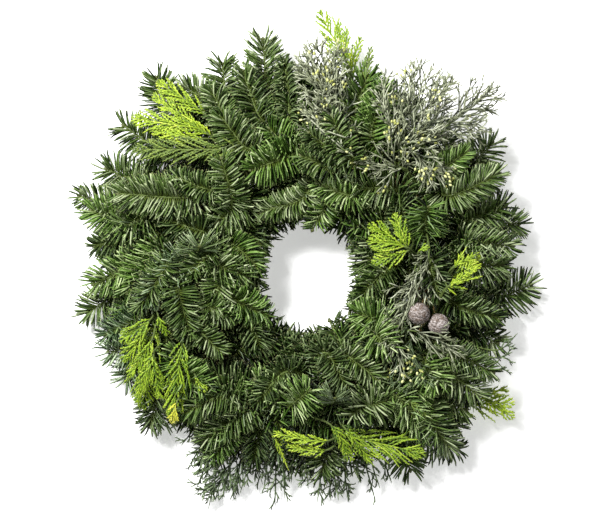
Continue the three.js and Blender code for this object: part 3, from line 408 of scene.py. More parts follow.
class Batch:
    """Gathers strands of triangles for one piece, with their places on its map."""

    def __init__(self):
        self.parts = []
        self.count = 0

    def strands(self, paths, facing, width, thick, section, tint, material, columns):
        """Strands along paths (strand, step, xyz), each closed at its end. width and thick are half
        sizes (strand, step), facing is what each strand's flat side looks to, tint one number
        each. The tint picks the strand's place among the map's columns."""
        number, steps, _ = paths.shape
        paths = within_height(paths)
        corners = np.array(section, float)
        sides = len(corners)
        tangent = unit(np.gradient(paths, axis=1))
        side = unit(np.cross(tangent, np.broadcast_to(facing[:, None], paths.shape)))
        normal = np.cross(side, tangent)
        across = side[:, :, None] * (width[..., None] * corners[:, 0])[..., None]
        up = normal[:, :, None] * (thick[..., None] * corners[:, 1])[..., None]
        places = (paths[:, :, None] + across + up).reshape(-1, 3)
        ids = np.arange(number * steps * sides).reshape(number, steps, sides)
        step = np.linspace(MAP_MARGIN, 1 - MAP_MARGIN, steps)
        column = np.floor(tint * columns[2] * 0.999) / columns[2]
        column_width = (columns[1] - columns[0]) / columns[2]
        left = columns[0] + column * (columns[1] - columns[0])
        used = 1 - 2 * COLUMN_MARGIN
        faces, maps = [], []
        for k in range(sides):
            after = (k + 1) % sides
            a, b = ids[:, :-1, k], ids[:, :-1, after]
            c, d = ids[:, 1:, after], ids[:, 1:, k]
            faces += [np.stack([a, b, c], -1), np.stack([a, c, d], -1)]
            low = left + column_width * (COLUMN_MARGIN + used * k / sides)
            high = left + column_width * (COLUMN_MARGIN + used * (k + 1) / sides)
            low, high = (np.repeat(u[:, None], steps - 1, 1) for u in (low, high))
            near, far = (np.repeat(v[None], number, 0) for v in (step[:-1], step[1:]))
            maps += [np.stack([low, near, high, near, high, far], -1)]
            maps += [np.stack([low, near, high, far, low, far], -1)]
        for k in range(1, sides - 1):
            faces.append(np.stack([ids[:, -1, 0], ids[:, -1, k], ids[:, -1, k + 1]], -1))
            middle = left + column_width * 0.5
            tops = [middle, np.full(number, 0.97), middle + 0.001, np.full(number, 0.98)]
            maps.append(np.stack([*tops, middle, np.full(number, 0.99)], -1))
        faces = np.concatenate([f.reshape(-1, 3) for f in faces])
        maps = np.concatenate([m.reshape(-1, 6) for m in maps])
        along = np.broadcast_to(np.linspace(0, 1, steps)[None, :, None], ids.shape)
        under = np.broadcast_to(corners[:, 2], ids.shape)
        tints = np.broadcast_to(tint[:, None, None], ids.shape)
        values = np.stack([tints, along, under], -1).reshape(-1, 3)
        self.add(places, faces, maps, values, material)

    def add(self, places, faces, maps, values, material):
        slots = np.full(len(faces), material)
        self.parts.append((places, faces + self.count, maps, values, slots))
        self.count += len(places)

    def piece(self, name, materials, slot, node=None):
        """Makes the mesh. node is the CAD node that it replaces, if it replaces one."""
        places, faces, maps, values, slots = (np.concatenate(p) for p in zip(*self.parts))
        mesh = bpy.data.meshes.new(name)
        mesh.vertices.add(len(places))
        mesh.vertices.foreach_set("co", ((places + SHIFT) * MM).astype(np.float32).ravel())
        mesh.loops.add(faces.size)
        mesh.loops.foreach_set("vertex_index", faces.astype(np.int32).ravel())
        mesh.polygons.add(len(faces))
        mesh.polygons.foreach_set("loop_start", np.arange(0, faces.size, 3, dtype=np.int32))
        mesh.polygons.foreach_set("material_index", slots.astype(np.int32))
        mesh.update(calc_edges=True)
        mesh.shade_smooth()
        chart = mesh.uv_layers.new(name="OFBake")
        chart.data.foreach_set("uv", maps.astype(np.float32).ravel())
        for index, label in enumerate(("tint", "along", "under")):
            layer = mesh.attributes.new(label, "FLOAT", "POINT")
            layer.data.foreach_set("value", values[:, index].astype(np.float32))
        for material in materials:
            mesh.materials.append(material)
        piece = bpy.data.objects.new(name, mesh)
        bpy.context.scene.collection.objects.link(piece)
        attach(piece, "root")
        if node:
            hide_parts(node)


ring_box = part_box("straw_ring")
SHIFT = np.array([(ring_box[0][i] + ring_box[1][i]) / 2 / MM for i in range(2)] + [0.0])


# Materials
def linear(code):
    """A colour written as on a chart, as the renderer wants it."""
    parts = [int(code[i:i + 2], 16) / 255 for i in (0, 2, 4)]
    return [p / 12.92 if p < 0.04045 else ((p + 0.055) / 1.055) ** 2.4 for p in parts] + [1]


class Surface:
    """A material built from nodes."""

    def __init__(self, name, roughness=0.5):
        self.material = bpy.data.materials.new(name)
        self.material.use_nodes = True
        self.tree = self.material.node_tree
        self.shader = self.tree.nodes["Principled BSDF"]
        self.shader.inputs["Roughness"].default_value = roughness

    def node(self, kind, **values):
        node = self.tree.nodes.new(kind)
        for key, value in values.items():
            setattr(node, key, value)
        return node

    def link(self, source, target):
        self.tree.links.new(source, target)

    def value(self, name):
        return self.node("ShaderNodeAttribute", attribute_name=name).outputs["Fac"]

    def noise(self, size, detail=3.0):
        """Soft speckle whose patches are about size millimetres."""
        texture = self.node("ShaderNodeTexNoise")
        texture.inputs["Scale"].default_value = 1 / (size * MM)
        texture.inputs["Detail"].default_value = detail
        place = self.node("ShaderNodeTexCoord").outputs["Object"]
        self.link(place, texture.inputs["Vector"])
        return texture.outputs["Fac"]

    def math(self, operation, *values):
        node = self.node("ShaderNodeMath", operation=operation, use_clamp=operation != "MULTIPLY")
        for i, value in enumerate(values):
            if hasattr(value, "links"):
                self.link(value, node.inputs[i])
            else:
                node.inputs[i].default_value = value
        return node.outputs[0]

    def spread(self, value, low, high, to_low=0.0, to_high=1.0):
        node = self.node("ShaderNodeMapRange")
        for key, number in zip(("From Min", "From Max", "To Min", "To Max"),
                               (low, high, to_low, to_high)):
            node.inputs[key].default_value = number
        self.link(value, node.inputs["Value"])
        return node.outputs["Result"]

    def toned(self, grain, sway, low=0.3, high=0.7):
        """Each strand's own tint, moved up and down by the grain. On needles the tint also holds
        painted light and shade.
        """
        return self.math("ADD", self.value("tint"), self.spread(grain, low, high, -sway, sway))

    def ramp(self, value, *stops):
        node = self.node("ShaderNodeValToRGB")
        elements = node.color_ramp.elements
        while len(elements) < len(stops):
            elements.new(1)
        for element, (place, code) in zip(elements, stops):
            element.position = place
            element.color = linear(code)
        self.link(value, node.inputs["Fac"])
        return node.outputs["Color"]

    def mix(self, factor, first, second):
        node = self.node("ShaderNodeMix", data_type="RGBA")
        self.link(factor, node.inputs["Factor"])
        for socket, colour in ((node.inputs[6], first), (node.inputs[7], second)):
            if isinstance(colour, str):
                socket.default_value = linear(colour)
            else:
                self.link(colour, socket)
        return node.outputs[2]

    def finish(self, colour, height=None, depth=0.2, roughness=None):
        self.link(colour, self.shader.inputs["Base Color"])
        if height is not None:
            bump = self.node("ShaderNodeBump")
            bump.inputs["Distance"].default_value = depth * MM
            self.link(height, bump.inputs["Height"])
            self.link(bump.outputs["Normal"], self.shader.inputs["Normal"])
        if roughness is not None:
            self.link(roughness, self.shader.inputs["Roughness"])
        return self.material


def needle_material(name, tones):
    """Needles: darker and lighter ones, their tints holding painted light and shade, yellower
    roots, pale bands underneath, waxy speckle.
    """
    surface = Surface(name, 0.42)
    surface.shader.inputs["Specular IOR Level"].default_value = 0.3
    speckle = surface.noise(2.5)
    colour = surface.ramp(surface.toned(speckle, 0.1), *zip((0, 0.3, 0.6, 1), tones))
    along = surface.value("along")
    colour = surface.mix(surface.spread(along, 0.28, 0.02, 0, 0.75), colour, "5c6a22")
    colour = surface.mix(surface.spread(along, 0.9, 1.0, 0, 0.35), colour, "b7b77a")
    bands = surface.math("MULTIPLY", surface.spread(surface.value("under"), 0.3, 0.8), 0.7)
    colour = surface.mix(bands, colour, "98a988")
    rough = surface.spread(speckle, 0.3, 0.7, 0.36, 0.55)
    return surface.finish(colour, speckle, 0.1, rough)


def scale_leaf_material(name, tones, root, tip, shade=0.6):
    """Scale leaves: darker and lighter sprays, greener or darker roots and fresh tips. The roots'
    colour is partly their own and partly painted shade.
    """
    surface = Surface(name, 0.55)
    speckle = surface.noise(1.2, 4)
    colour = surface.ramp(surface.toned(speckle, 0.1), *zip((0.1, 0.4, 0.7, 1), tones))
    along = surface.value("along")
    # Painted shade at the roots, over their own greener colour
    colour = surface.mix(surface.spread(along, 0.45, 0.0, 0, shade), colour, root)
    colour = surface.mix(surface.spread(along, 0.7, 1.0, 0, 0.6), colour, tip)
    return surface.finish(colour, speckle, 0.25)


def bark_material():
    """Young bark: brown at a twig's foot and green further out."""
    surface = Surface("young_bark", 0.75)
    grain = surface.noise(1.4, 5)
    colour = surface.ramp(grain, (0.25, "2a2312"), (0.5, "51411f"), (0.75, "6c5d2f"))
    young = surface.spread(surface.value("along"), 0.05, 0.5, 0, 0.9)
    return surface.finish(surface.mix(young, colour, "4e6125"), grain, 0.4)


def grained_material(name, roughness, size, detail, stops, depth, sway=0, metallic=0):
    """A grained surface. With a sway, each strand's own tint counts more than the grain."""
    surface = Surface(name, roughness)
    surface.shader.inputs["Metallic"].default_value = metallic
    grain = surface.noise(size, detail)
    tone = surface.toned(grain, sway) if sway else grain
    return surface.finish(surface.ramp(tone, *stops), grain, depth)


def cone_material():
    """Shield scales with a grey bloom, brown in the seams, pitted and mottled."""
    surface = Surface("seed_cone", 0.75)
    fine = surface.noise(1.3, 5)
    broad = surface.noise(3.4, 3)
    tone = surface.toned(fine, 0.4, 0.35, 0.65)
    bloom = surface.ramp(tone, (0.0, "3c342c"), (0.35, "6c6159"), (0.65, "968c87"), (1, "c6bebb"))
    colour = surface.mix(surface.spread(broad, 0.52, 0.62, 0, 0.7), bloom, "5c4634")
    pits = surface.spread(surface.noise(1.9, 2), 0.58, 0.64, 0, 0.75)
    colour = surface.mix(pits, colour, "3a2d25")
    seams = surface.spread(surface.value("under"), 0.45, 1.0, 0, 0.7)
    colour = surface.mix(seams, colour, "453429")
    return surface.finish(colour, surface.math("ADD", fine, broad), 0.8)


def floor_material():
    surface = Surface("pale_floor", 0.9)
    grain = surface.noise(400, 2)
    colour = surface.ramp(grain, (0.2, "f4f4f4"), (0.8, "f8f8f8"))
    surface.link(colour, surface.shader.inputs["Emission Color"])
    surface.shader.inputs["Emission Strength"].default_value = 0.5
    return surface.finish(colour)


# Fir's and cypress's colours, from the darkest tone to the lightest
FIR_TONES = {
    "fir": ("081002", "283c12", "5b7337", "b9c59a"),
    "lightFir": ("0f1d06", "39551a", "719143", "c2d29a"),
    "glaucous": ("141e12", "394f2f", "6f875d", "b9c8a6"),
    "darkFir": ("070c02", "1d2c0f", "405426", "849666"),
}
FIR_SLOTS = {"fir": "fir", "lightFir": "light_fir", "glaucous": "glaucous_fir",
             "darkFir": "dark_fir"}
# Material's name, tones, colour of the roots and tips, and how far the roots' colour covers; the
# roots' colour is partly the inner growth's own greener colour and partly painted shade
LEAF_LOOKS = {
    "gold": ("gold_cypress", ("4c680a", "83a016", "aac32c", "cbd852"), "557010", "bfcf42"),
    "deepGold": ("deep_gold_cypress", ("44640a", "739312", "98b526", "bccb4a"), "4c6810", "afc23c"),
    "amber": ("amber_cypress", ("8f9428", "bcc034", "d6d248", "e2dd78"), "8f962c", "dccb48"),
    "goldGreen": ("gold_green_cypress", ("34481a", "536b22", "768c34", "9cab4e"), "4a4f20", "94a248"),
    "grey": ("grey_cypress", ("424a37", "757c5c", "a2a88a", "c6cab0"), "3b4230", "adb390", 0.85),
    "darkGreen": ("dark_cypress", ("2a361e", "4c5f39", "6d8157", "8fa077"), "34402a", "7b8c61", 0.8),
}
LEAF_SLOTS = {"gold": "gold_cypress", "deepGold": "gold_cypress", "amber": "gold_cypress",
              "goldGreen": "gold_green_cypress", "grey": "grey_cypress", "darkGreen": "dark_cypress"}
LEAVES = {key: scale_leaf_material(*look) for key, look in LEAF_LOOKS.items()}
BARK = bark_material()
BUDS = grained_material(
    "bud_scales", 0.5, 0.9, 3, ((0.3, "363a19"), (0.5, "4d5526"), (0.7, "687039")), 0.3)
POLLEN = grained_material(
    "pollen_cones", 0.7, 0.8, 3, ((0.1, "8c9145"), (0.5, "bfc272"), (0.9, "d9db9c")), 0.3, 0.3)
# Straw: its own brown, darkened as painted shade where it shows under the shoots
STRAW = grained_material(
    "straw", 0.6, 3, 4, ((0.05, "3a2d14"), (0.45, "6d5729"), (0.75, "8f7842"), (1, "ab9560")), 0.3, 0.2)
LACQUER = grained_material(
    "green_lacquer", 0.35, 5, 4, ((0.3, "24391f"), (0.6, "35542e"), (0.8, "4a6b3c")), 0.05, 0, 0.3)
FIR_MATERIALS = {
    key: [needle_material("needles_" + key.lower(), tones), BARK, BUDS] for key, tones in FIR_TONES.items()
}

# Columns of each piece's map: where they start and end, and how many tones they hold
LEAF_COLUMNS = (0.0, 0.8, 16)
BARK_COLUMNS = (0.81, 0.9, 1)
BUD_COLUMNS = (0.91, 0.99, 2)


# Fir shoots. Needle lengths and distances are in millimetres, densities in needles a millimetre
NEEDLE_LENGTH = 26
SIDE_NEEDLE_LENGTH = 24
DENSITY = 2.3
SIDE_DENSITY = 2.2
SIDE_RADIUS = 1.4
TIP_SHORTER = 0.32
NEEDLE_OUTSIDE_TWIG = 1.1
NEEDLE_FLATNESS = 0.5
STRAW_CLEARANCE = 0.5
# How far above the straw the needles' painted shade fades out, in millimetres
SHADE_DEPTH = 32
SPARSE_FROM = 192
SPARSE_OVER = 40
SPARSEST = 0.08
SWEPT = (0.25, 1.9)
LEAN_BACK = 1.36
LEAN_AT_TIP = (0.1, 0.85)
NEEDLE_STEPS = np.array([0, 0.3, 0.78, 1.0])
NEEDLE_WIDTHS = np.array([0.51, 1.02, 0.918, 0.459])
BUTTS_BARE = 2.2
SIDES_FROM_BUTTS = 2.5
SIDES_BACK = 12
BUD_SPLAY = np.array([[0], [0.5], [-0.5]])
BUD_LENGTHS = np.array([4.2, 3.2, 3.2])
BUD_RADIUS = 1.3
BUD_STEPS = np.array([0, 0.2, 0.5, 0.8, 1.0])
BUD_WIDTHS = np.array([0.5, 0.9, 1.0, 0.7, 0.15])


def add_twig(batch, curve, start, end, radius, tip_radius):
    steps = max(4, int(curve.length * (end - start) / 5))
    places = np.linspace(start, end, steps)
    path = curve.at(places)[None]
    radii = lerp(radius, tip_radius, places)[None]
    facing = across_stem(curve.tangent(np.array([start])))[1]
    batch.strands(path, facing, radii, radii, SIX, np.array([0.5]), 1, BARK_COLUMNS)


def add_buds(batch, places, ways, lengths, radius, tint):
    """Small pointed ovals: buds and pollen cones."""
    path = places[:, None] + ways[:, None] * (BUD_STEPS * lengths[:, None])[..., None]
    widths = np.broadcast_to(BUD_WIDTHS * radius, path.shape[:2])
    batch.strands(path, across_stem(ways)[1], widths, widths, SIX, tint, 2, BUD_COLUMNS)


def add_needles(batch, curve, start, density, random, length, tone, into_hole=0.1):
    """Needles all round a shoot that sweep to its sides and upper face and bend forward and up.
    They stand less close near the wreath's outer edge. Their tints hold painted light and shade:
    lighter on the shoot's upper face, darker underneath and nearer the straw."""
    count = int(curve.length * (1 - start) * density)
    ripe = (np.arange(count) + random.random(count)) / count
    share = start + (1 - start) * ripe
    root, tangent = curve.at(share), curve.tangent(share)
    level, upright = across_stem(tangent)
    turn = (np.arange(count) * GOLDEN_ANGLE + random.normal(0, 0.2, count)) % math.tau - math.pi
    swept = (np.sign(turn) * lerp(*SWEPT, (np.abs(turn) / math.pi) ** 0.6))[:, None]
    around = np.cos(turn)[:, None] * upright + np.sin(turn)[:, None] * level
    outward = np.cos(swept) * upright + np.sin(swept) * level
    foremost = random.uniform(*LEAN_AT_TIP, count)
    lean = lerp(LEAN_BACK, foremost, ripe**6) + random.normal(0, 0.06, count)
    curl = random.normal(0, 0.15, count) + random.normal(0, 0.18)
    first, last = (lean * 0.88 - curl)[:, None], (lean + curl)[:, None]
    first = np.cos(first) * tangent + np.sin(first) * outward
    last = np.cos(last) * tangent + np.sin(last) * outward
    last = unit(last + upright * random.normal(0.26, 0.14, count)[:, None])
    reach = length * (1 - TIP_SHORTER * ripe**4) * np.minimum(1, 0.6 + 4 * ripe)
    reach = reach * random.uniform(0.86, 1.1, count)
    middles = (NEEDLE_STEPS[1:] + NEEDLE_STEPS[:-1]) / 2
    ways = unit(lerp(first[:, None], last[:, None], middles[:, None] ** 0.7))
    steps = ways * (np.diff(NEEDLE_STEPS) * reach[:, None])[..., None]
    base = root + around * NEEDLE_OUTSIDE_TWIG
    path = np.concatenate([base[:, None], base[:, None] + np.cumsum(steps, 1)], 1)
    free = (ring_gap(path[:, 2:]) > STRAW_CLEARANCE).all(1)
    free &= (hole_gap(path) > random.uniform(-into_hole, 0.06, (count, 1))).all(1)
    edge = np.hypot(root[:, 0], root[:, 1]) - SPARSE_FROM
    free &= random.random(count) > np.clip(edge / SPARSE_OVER, 0, SPARSEST)
    facing = unit(upright + tangent * 0.2 + random.normal(0, 0.3, (count, 3)))
    widths = np.broadcast_to(NEEDLE_WIDTHS, (free.sum(), len(NEEDLE_WIDTHS)))
    # Painted shade: needles nearer the straw get darker tints
    depth = np.clip(1 - ring_gap(path[:, 2]) / SHADE_DEPTH, 0, 1)
    # Painted light and shade: needles on the shoot's upper face get lighter tints, those under it darker
    tint = tone + 0.12 * np.cos(turn) + random.normal(0, 0.18, count) - 0.4 * depth
    batch.strands(path[free], facing[free], widths, widths * NEEDLE_FLATNESS, BLADE,
                  np.clip(tint, 0, 1)[free], 0, LEAF_COLUMNS)


def add_shoot(batch, curve, start, density, random, length, tone, radius=STEM_RADIUS):
    add_twig(batch, curve, 0, 1, radius * 0.8, 0.8)
    add_needles(batch, curve, start, density, random, length, tone)
    end = curve.at(np.ones(3))
    way = curve.tangent(np.ones(3))
    level, upright = across_stem(way)
    ways = unit(way + level * BUD_SPLAY + upright * np.abs(BUD_SPLAY) * 0.3)
    add_buds(batch, end, ways, BUD_LENGTHS, BUD_RADIUS, random.random(3))


def side_curve(curve, start, share, tip):
    place = start * lerp(SIDE_LOWEST_PLACE, 1, share)
    root, tip = curve.at(place), np.array(tip, float)
    bend = curve.tangent(place) * np.linalg.norm(tip - root) * SIDE_BEND
    return Curve([root, lerp(root, tip, 0.45) + bend, tip])


def fir_shoot(batch, random, seat, way, base, tip, sides=(), length=NEEDLE_LENGTH):
    curve = stem_curve(seat, way, STEM_RADIUS, base, tip)
    tone = random.uniform(0.4, 0.6)
    bare = BUTTS_BARE * BUTT_LENGTH / curve.length
    start = max(bare, curve.nearest(base) - NEEDLES_BACK / curve.length)
    add_shoot(batch, curve, start, DENSITY, random, length, tone)
    seated = max(SIDES_FROM_BUTTS * BUTT_LENGTH / curve.length,
                 curve.nearest(base) - SIDES_BACK / curve.length)
    for share, side_tip in sides:
        side = side_curve(curve, seated, share, side_tip)
        add_shoot(batch, side, 0.08, SIDE_DENSITY, random, SIDE_NEEDLE_LENGTH, tone, SIDE_RADIUS)


def fir_piece(number, row):
    seat, way, base, tip, colour, *sides = row
    batch = Batch()
    fir_shoot(batch, seeded("fir", number), seat, way, base, tip, sides)
    node = f"fir_{number + 1:02d}"
    batch.piece("shoot_" + node, FIR_MATERIALS[colour], FIR_SLOTS[colour], node)


def loose_fir_pieces():
    random = seeded("loose fir")
    for colour, rows in LOOSE_FIR.items():
        batch = Batch()
        for row in rows:
            base, tip = row[:3], row[3:]
            seat, way = seat_for(base, tip)
            fir_shoot(batch, random, seat, way, base, tip, (), random.uniform(16, 25))
        if colour == "fir":
            base, tip = HANGING
            curve = stem_curve(*seat_for(base, tip), STEM_RADIUS, base, tip)
            add_twig(batch, curve, 0, 1, 1.2, 0.8)
            add_needles(batch, curve, curve.nearest(base), 0.8, random, 23, 0.3, 0.6)
        batch.piece("loose_" + colour.lower(), FIR_MATERIALS[colour], FIR_SLOTS[colour])


UNDER_SHARES = {"fir": 0.55, "darkFir": 0.25, "lightFir": 0.2}


def under_pieces(number, row):
    """A round of fir shoots under the others, as one piece for each of their colours."""
    label, count, section, origin, base, tip, run, density = row
    random = seeded("under", number)
    batches = [Batch() for _ in UNDER_SHARES]
    for k in range(count):
        angle = 360 * (k + 0.5 * (number % 2) + random.uniform(-0.25, 0.25)) / count
        seat = (angle, section + random.uniform(-8, 8))
        crossing = math.degrees(nearest_crossing(seat))
        places = []
        for share, (reach, height) in ((0.4, base), (1.0, tip)):
            turned = math.radians(lerp(crossing, angle, 0.6) + run * share + random.uniform(-2, 2))
            reach = reach + random.uniform(-4, 5) + (hole_edge(turned) if origin == "hole" else 0)
            lift = height + random.uniform(-3, 4)
            places.append((reach * math.cos(turned), reach * math.sin(turned), lift))
        curve = stem_curve(seat, 1, STEM_RADIUS, *places)
        start = 1.6 * BUTT_LENGTH / curve.length
        choice = random.choice(3, p=list(UNDER_SHARES.values()))
        # Tones lower than the shoots above: painted shade under them
        add_shoot(batches[choice], curve, start, density, random, random.uniform(22, 27),
                  random.uniform(0.16, 0.38))
    for colour, batch in zip(UNDER_SHARES, batches):
        if batch.parts:
            name = f"under_{label}_{colour.lower()}"
            batch.piece(name, FIR_MATERIALS[colour], FIR_SLOTS[colour])


# Cypress sprays. A habit says, for each order of branchlets, their angle in radians, spacing in
# millimetres and least length, then how long one is that forks, and how they rise, point, bow, arch,
# vary and open
FERNY = {"spread": (0.44, 0.5), "rise": 0.14, "spacing": (2.8, 1.9), "least": (3, 1.2),
         "forks": 5, "point": 0.66, "bow": 0.05, "arch": 0.05, "vary": (0.8, 1.15),
         "open": (0.75, 1.2)}
THREADY = {"spread": (0.55, 0.45, 0.45), "rise": 0.6, "spacing": (5.2, 6.6, 6.4),
           "least": (7, 5, 3), "forks": 7, "point": 1, "bow": 0.08, "arch": 0.05,
           "vary": (0.5, 1.15), "open": (0.4, 1.5)}
TRAILING = {"spread": (0.3, 0.4), "rise": 0.4, "spacing": (7, 7), "least": (8, 3),
            "forks": 9, "point": 1, "bow": 0.06, "arch": 0.05, "vary": (0.5, 1.1),
            "open": (0.5, 1.5)}
TRAILING_WIDTH = 15
CLUSTER_REACH = 15
POLLEN_RADIUS = 1.25
FROND_RADIUS = 1.7
SPRAY_RADIUS = 1.5


def branchlets(curve, start, widths, habit, random, order=0):
    """Side branchlets left and right of a line, and smaller ones on those: each as a curve with its
    order, longest in the lower middle."""
    found = []
    spread, rise = habit["spread"][order], habit["rise"]
    steps = max(2, int(curve.length * (1 - start) / habit["spacing"][order]))
    for step in range(steps):
        ripe = (step + random.uniform(0.1, 0.9)) / steps
        share = start + (1 - start) * ripe
        root, tangent = curve.at(share), curve.tangent(share)
        level, upright = across_stem(tangent[None])
        way = 1 if step % 2 else -1
        outline = min(1, 0.5 + 2.2 * ripe) * (1 - ripe) ** 0.5 + 0.12
        reach = widths[order] / 2 / math.sin(spread) * outline * random.uniform(*habit["vary"])
        reach = min(reach, habit["point"] * (1 - share) * curve.length / math.cos(spread) + 1.5)
        if reach < habit["least"][order]:
            continue
        angle = spread * random.uniform(*habit["open"])
        out = unit(level[0] * way + upright[0] * rise * random.normal(0, 1))
        goal = root + reach * (math.cos(angle) * tangent + math.sin(angle) * out)
        bow = reach * random.normal(0, habit["bow"])
        middle = lerp(root, goal, 0.5) + bow * (math.sin(angle) * tangent - math.cos(angle) * out)
        middle = middle + upright[0] * reach * habit["arch"]
        branch = Curve([root, middle, goal])
        found.append((branch, order + 1))
        if order + 1 < len(habit["spacing"]) and reach > habit["forks"]:
            found += branchlets(branch, 0.14, widths, habit, random, order + 1)
    return found


def add_branchlets(batch, lines, radius, flatness, section, scale, random, variety):
    """Strands whose width swells at each pair of scale leaves. lines: curves with their orders."""
    groups = {}
    for curve, order in lines:
        steps = 2 * max(1, round(curve.length / scale)) + 1
        groups.setdefault(steps, []).append((curve, order))
    for steps, members in groups.items():
        places = np.linspace(0, 1, steps)
        path = np.stack([curve.at(places) for curve, _ in members])
        order = np.array([o for _, o in members])[:, None]
        taper = np.interp(places, [0, 0.1, 0.8, 1], [0.9, 1, 0.85, 0.28])
        swell = np.where(np.arange(steps) % 2, 1.12, 0.88)
        width = radius * (1.12 - 0.08 * order) * taper * swell
        first = np.stack([curve.tangent(np.array([0.3]))[0] for curve, _ in members])
        facing = across_stem(first)[1] + random.normal(0, 0.12, (len(members), 3))
        tint = np.clip(random.normal(0.5, variety, len(members)), 0, 1)
        batch.strands(path, unit(facing), width, width * flatness, section, tint, 0, LEAF_COLUMNS)


def add_stem(batch, seat, way, base, tip, seated, bare, radii):
    """A cypress stem: its curve, where its leaves start, and its leafy end as the first line."""
    curve = stem_curve(seat, way, seated, base, tip)
    start = curve.nearest(base)
    add_twig(batch, curve, 0, lerp(start, 1, bare), *radii)
    return curve, start, [(Curve(curve.at(np.linspace(start, 1, 9))), 0)]


def add_frond(batch, random, seat, way, base, tip, width):
    curve, start, lines = add_stem(batch, seat, way, base, tip, FROND_RADIUS, 0.12, (1.2, 0.9))
    lines += branchlets(curve, start, (width, 3.2), FERNY, random)
    add_branchlets(batch, lines, 0.76, 0.6, LENS, 3.4, random, 0.2)


def add_spray(batch, random, seat, way, base, tip, width, clusters):
    curve, start, lines = add_stem(batch, seat, way, base, tip, SPRAY_RADIUS, 0.2, (1.1, 0.6))
    habit = TRAILING if width < TRAILING_WIDTH else THREADY
    lines += branchlets(curve, start * 0.9, (width, 22, 10), habit, random)
    add_branchlets(batch, lines, 0.7, 0.95, BLADE, 3.6, random, 0.28)
    ends = [line for line, order in lines if order > 1]
    if clusters and ends:
        places = np.stack([line.at(1.0) for line in ends])
        ways = np.stack([line.tangent(np.array([1.0]))[0] for line in ends])
        middles = places[random.choice(len(ends), clusters)]
        gaps = np.linalg.norm(places[:, None] - middles, axis=2).min(1)
        borne = gaps < random.uniform(0.3, 1, len(ends)) * CLUSTER_REACH
        lengths = random.uniform(2.8, 4.0, len(ends))
        tint = random.random(borne.sum())
        add_buds(batch, places[borne], ways[borne], lengths[borne], POLLEN_RADIUS, tint)


def spray_pieces(kind, rows, seed, add, materials):
    for number, (seat, way, base, tip, colour, *form) in enumerate(rows):
        batch = Batch()
        add(batch, seeded(seed, number), seat, way, base, tip, *form)
        node = f"{kind}_{number + 1:02d}"
        batch.piece("spray_" + node, [LEAVES[colour], *materials], LEAF_SLOTS[colour], node)


def loose_spray_pieces():
    random = seeded("loose sprays")
    for add, table in ((add_frond, LOOSE_GOLD), (add_spray, LOOSE_GREY)):
        for colour, rows in table.items():
            batch = Batch()
            for row in rows:
                base, tip = row[:3], row[3:6]
                add(batch, random, *seat_for(base, tip), base, tip, *row[6:])
            materials = [LEAVES[colour], BARK, POLLEN]
            batch.piece("loose_" + colour.lower(), materials, LEAF_SLOTS[colour])


# Seed cones
CONE_SCALES = 11
SEAM_WIDTH = 0.2
BOSS_REACH = 0.17
CONE_CHART_WIDTH = 0.8


def cone_scales(directions):
    """Shield scales on a ball: each direction's height, nearest scale, boss and seam."""
    heights = 1 - 2 * (np.arange(CONE_SCALES) + 0.5) / CONE_SCALES
    flat = np.sqrt(1 - heights**2)
    turns = np.arange(CONE_SCALES) * GOLDEN_ANGLE
    bosses = np.stack([flat * np.cos(turns), flat * np.sin(turns), heights], 1)
    angles = np.arccos(np.clip(directions @ bosses.T, -1, 1))
    angles = angles + 0.03 * np.sin(directions[:, [0]] * 9 + np.arange(CONE_SCALES))
    ordered = np.sort(angles, 1)
    seam = np.clip(1 - (ordered[:, 1] - ordered[:, 0]) / SEAM_WIDTH, 0, 1)
    boss = np.clip(1 - ordered[:, 0] / BOSS_REACH, 0, 1) ** 1.5
    folds = np.sin(directions @ np.array([[31.0], [23.0], [17.0]]))[:, 0]
    folds = folds * np.sin(directions @ np.array([[-19.0], [29.0], [37.0]]))[:, 0]
    rise = 0.95 - 0.08 * seam**1.4 + 0.05 * boss + 0.022 * folds
    return rise, angles.argmin(1), boss, seam


def cone_piece(number, row):
    seat, way, centre, radius = row
    random = seeded("cones", number)
    centre = np.array(centre, float)
    low, foot = centre - [0, 0, radius * 1.7], centre - [0, 0, radius * 0.6]
    curve = stem_curve(seat, way, SPRAY_RADIUS, low, foot)
    batch = Batch()
    add_twig(batch, curve, 0, 1, 1.4, 1.4)
    ball = bmesh.new()
    bmesh.ops.create_icosphere(ball, subdivisions=5, radius=1)
    directions = unit(np.array([v.co[:] for v in ball.verts]))
    faces = np.array([[v.index for v in f.verts] for f in ball.faces])
    ball.free()
    rise, nearest, boss, seam = cone_scales(directions)
    tints = random.uniform(0.3, 0.7, CONE_SCALES)[nearest]
    turned = np.arctan2(directions[:, 1], directions[:, 0]) / math.tau + 0.5
    chart = np.stack([turned * CONE_CHART_WIDTH, np.arccos(directions[:, 2]) / math.pi], 1)
    maps = chart[faces]
    half = CONE_CHART_WIDTH / 2
    wraps = maps[..., 0].max(1) - maps[..., 0].min(1) > half
    maps[..., 0] += np.where(wraps[:, None] & (maps[..., 0] < half), CONE_CHART_WIDTH, 0)
    places = centre + directions * (radius * rise)[:, None]
    batch.add(places, faces, maps.reshape(-1, 6), np.stack([tints, boss, seam], 1), 0)
    node = f"seed_cone_{number + 1:02d}"
    batch.piece("cone_" + node, [cone_material(), BARK], "seed_cone", node)


# Straw ring: packed straw on the core's surface, flat underneath
CORE_BOTTOM = 1.2
CORE_NARROWER = 0.95
CORE_TOP = 30
CORE_TOP_LOWER = 1.5
STRAW_STEPS = 7
STRAWS = 560
STRAW_LENGTHS = (35, 80)
BACK_STRAWS = 260
BACK_STRAW_LENGTHS = (30, 70)
STRAW_HALF_WIDTHS = (0.8, 1.5)


def around_ring(reach, ring, height):
    return np.stack([reach * np.cos(ring), reach * np.sin(ring), height], -1)


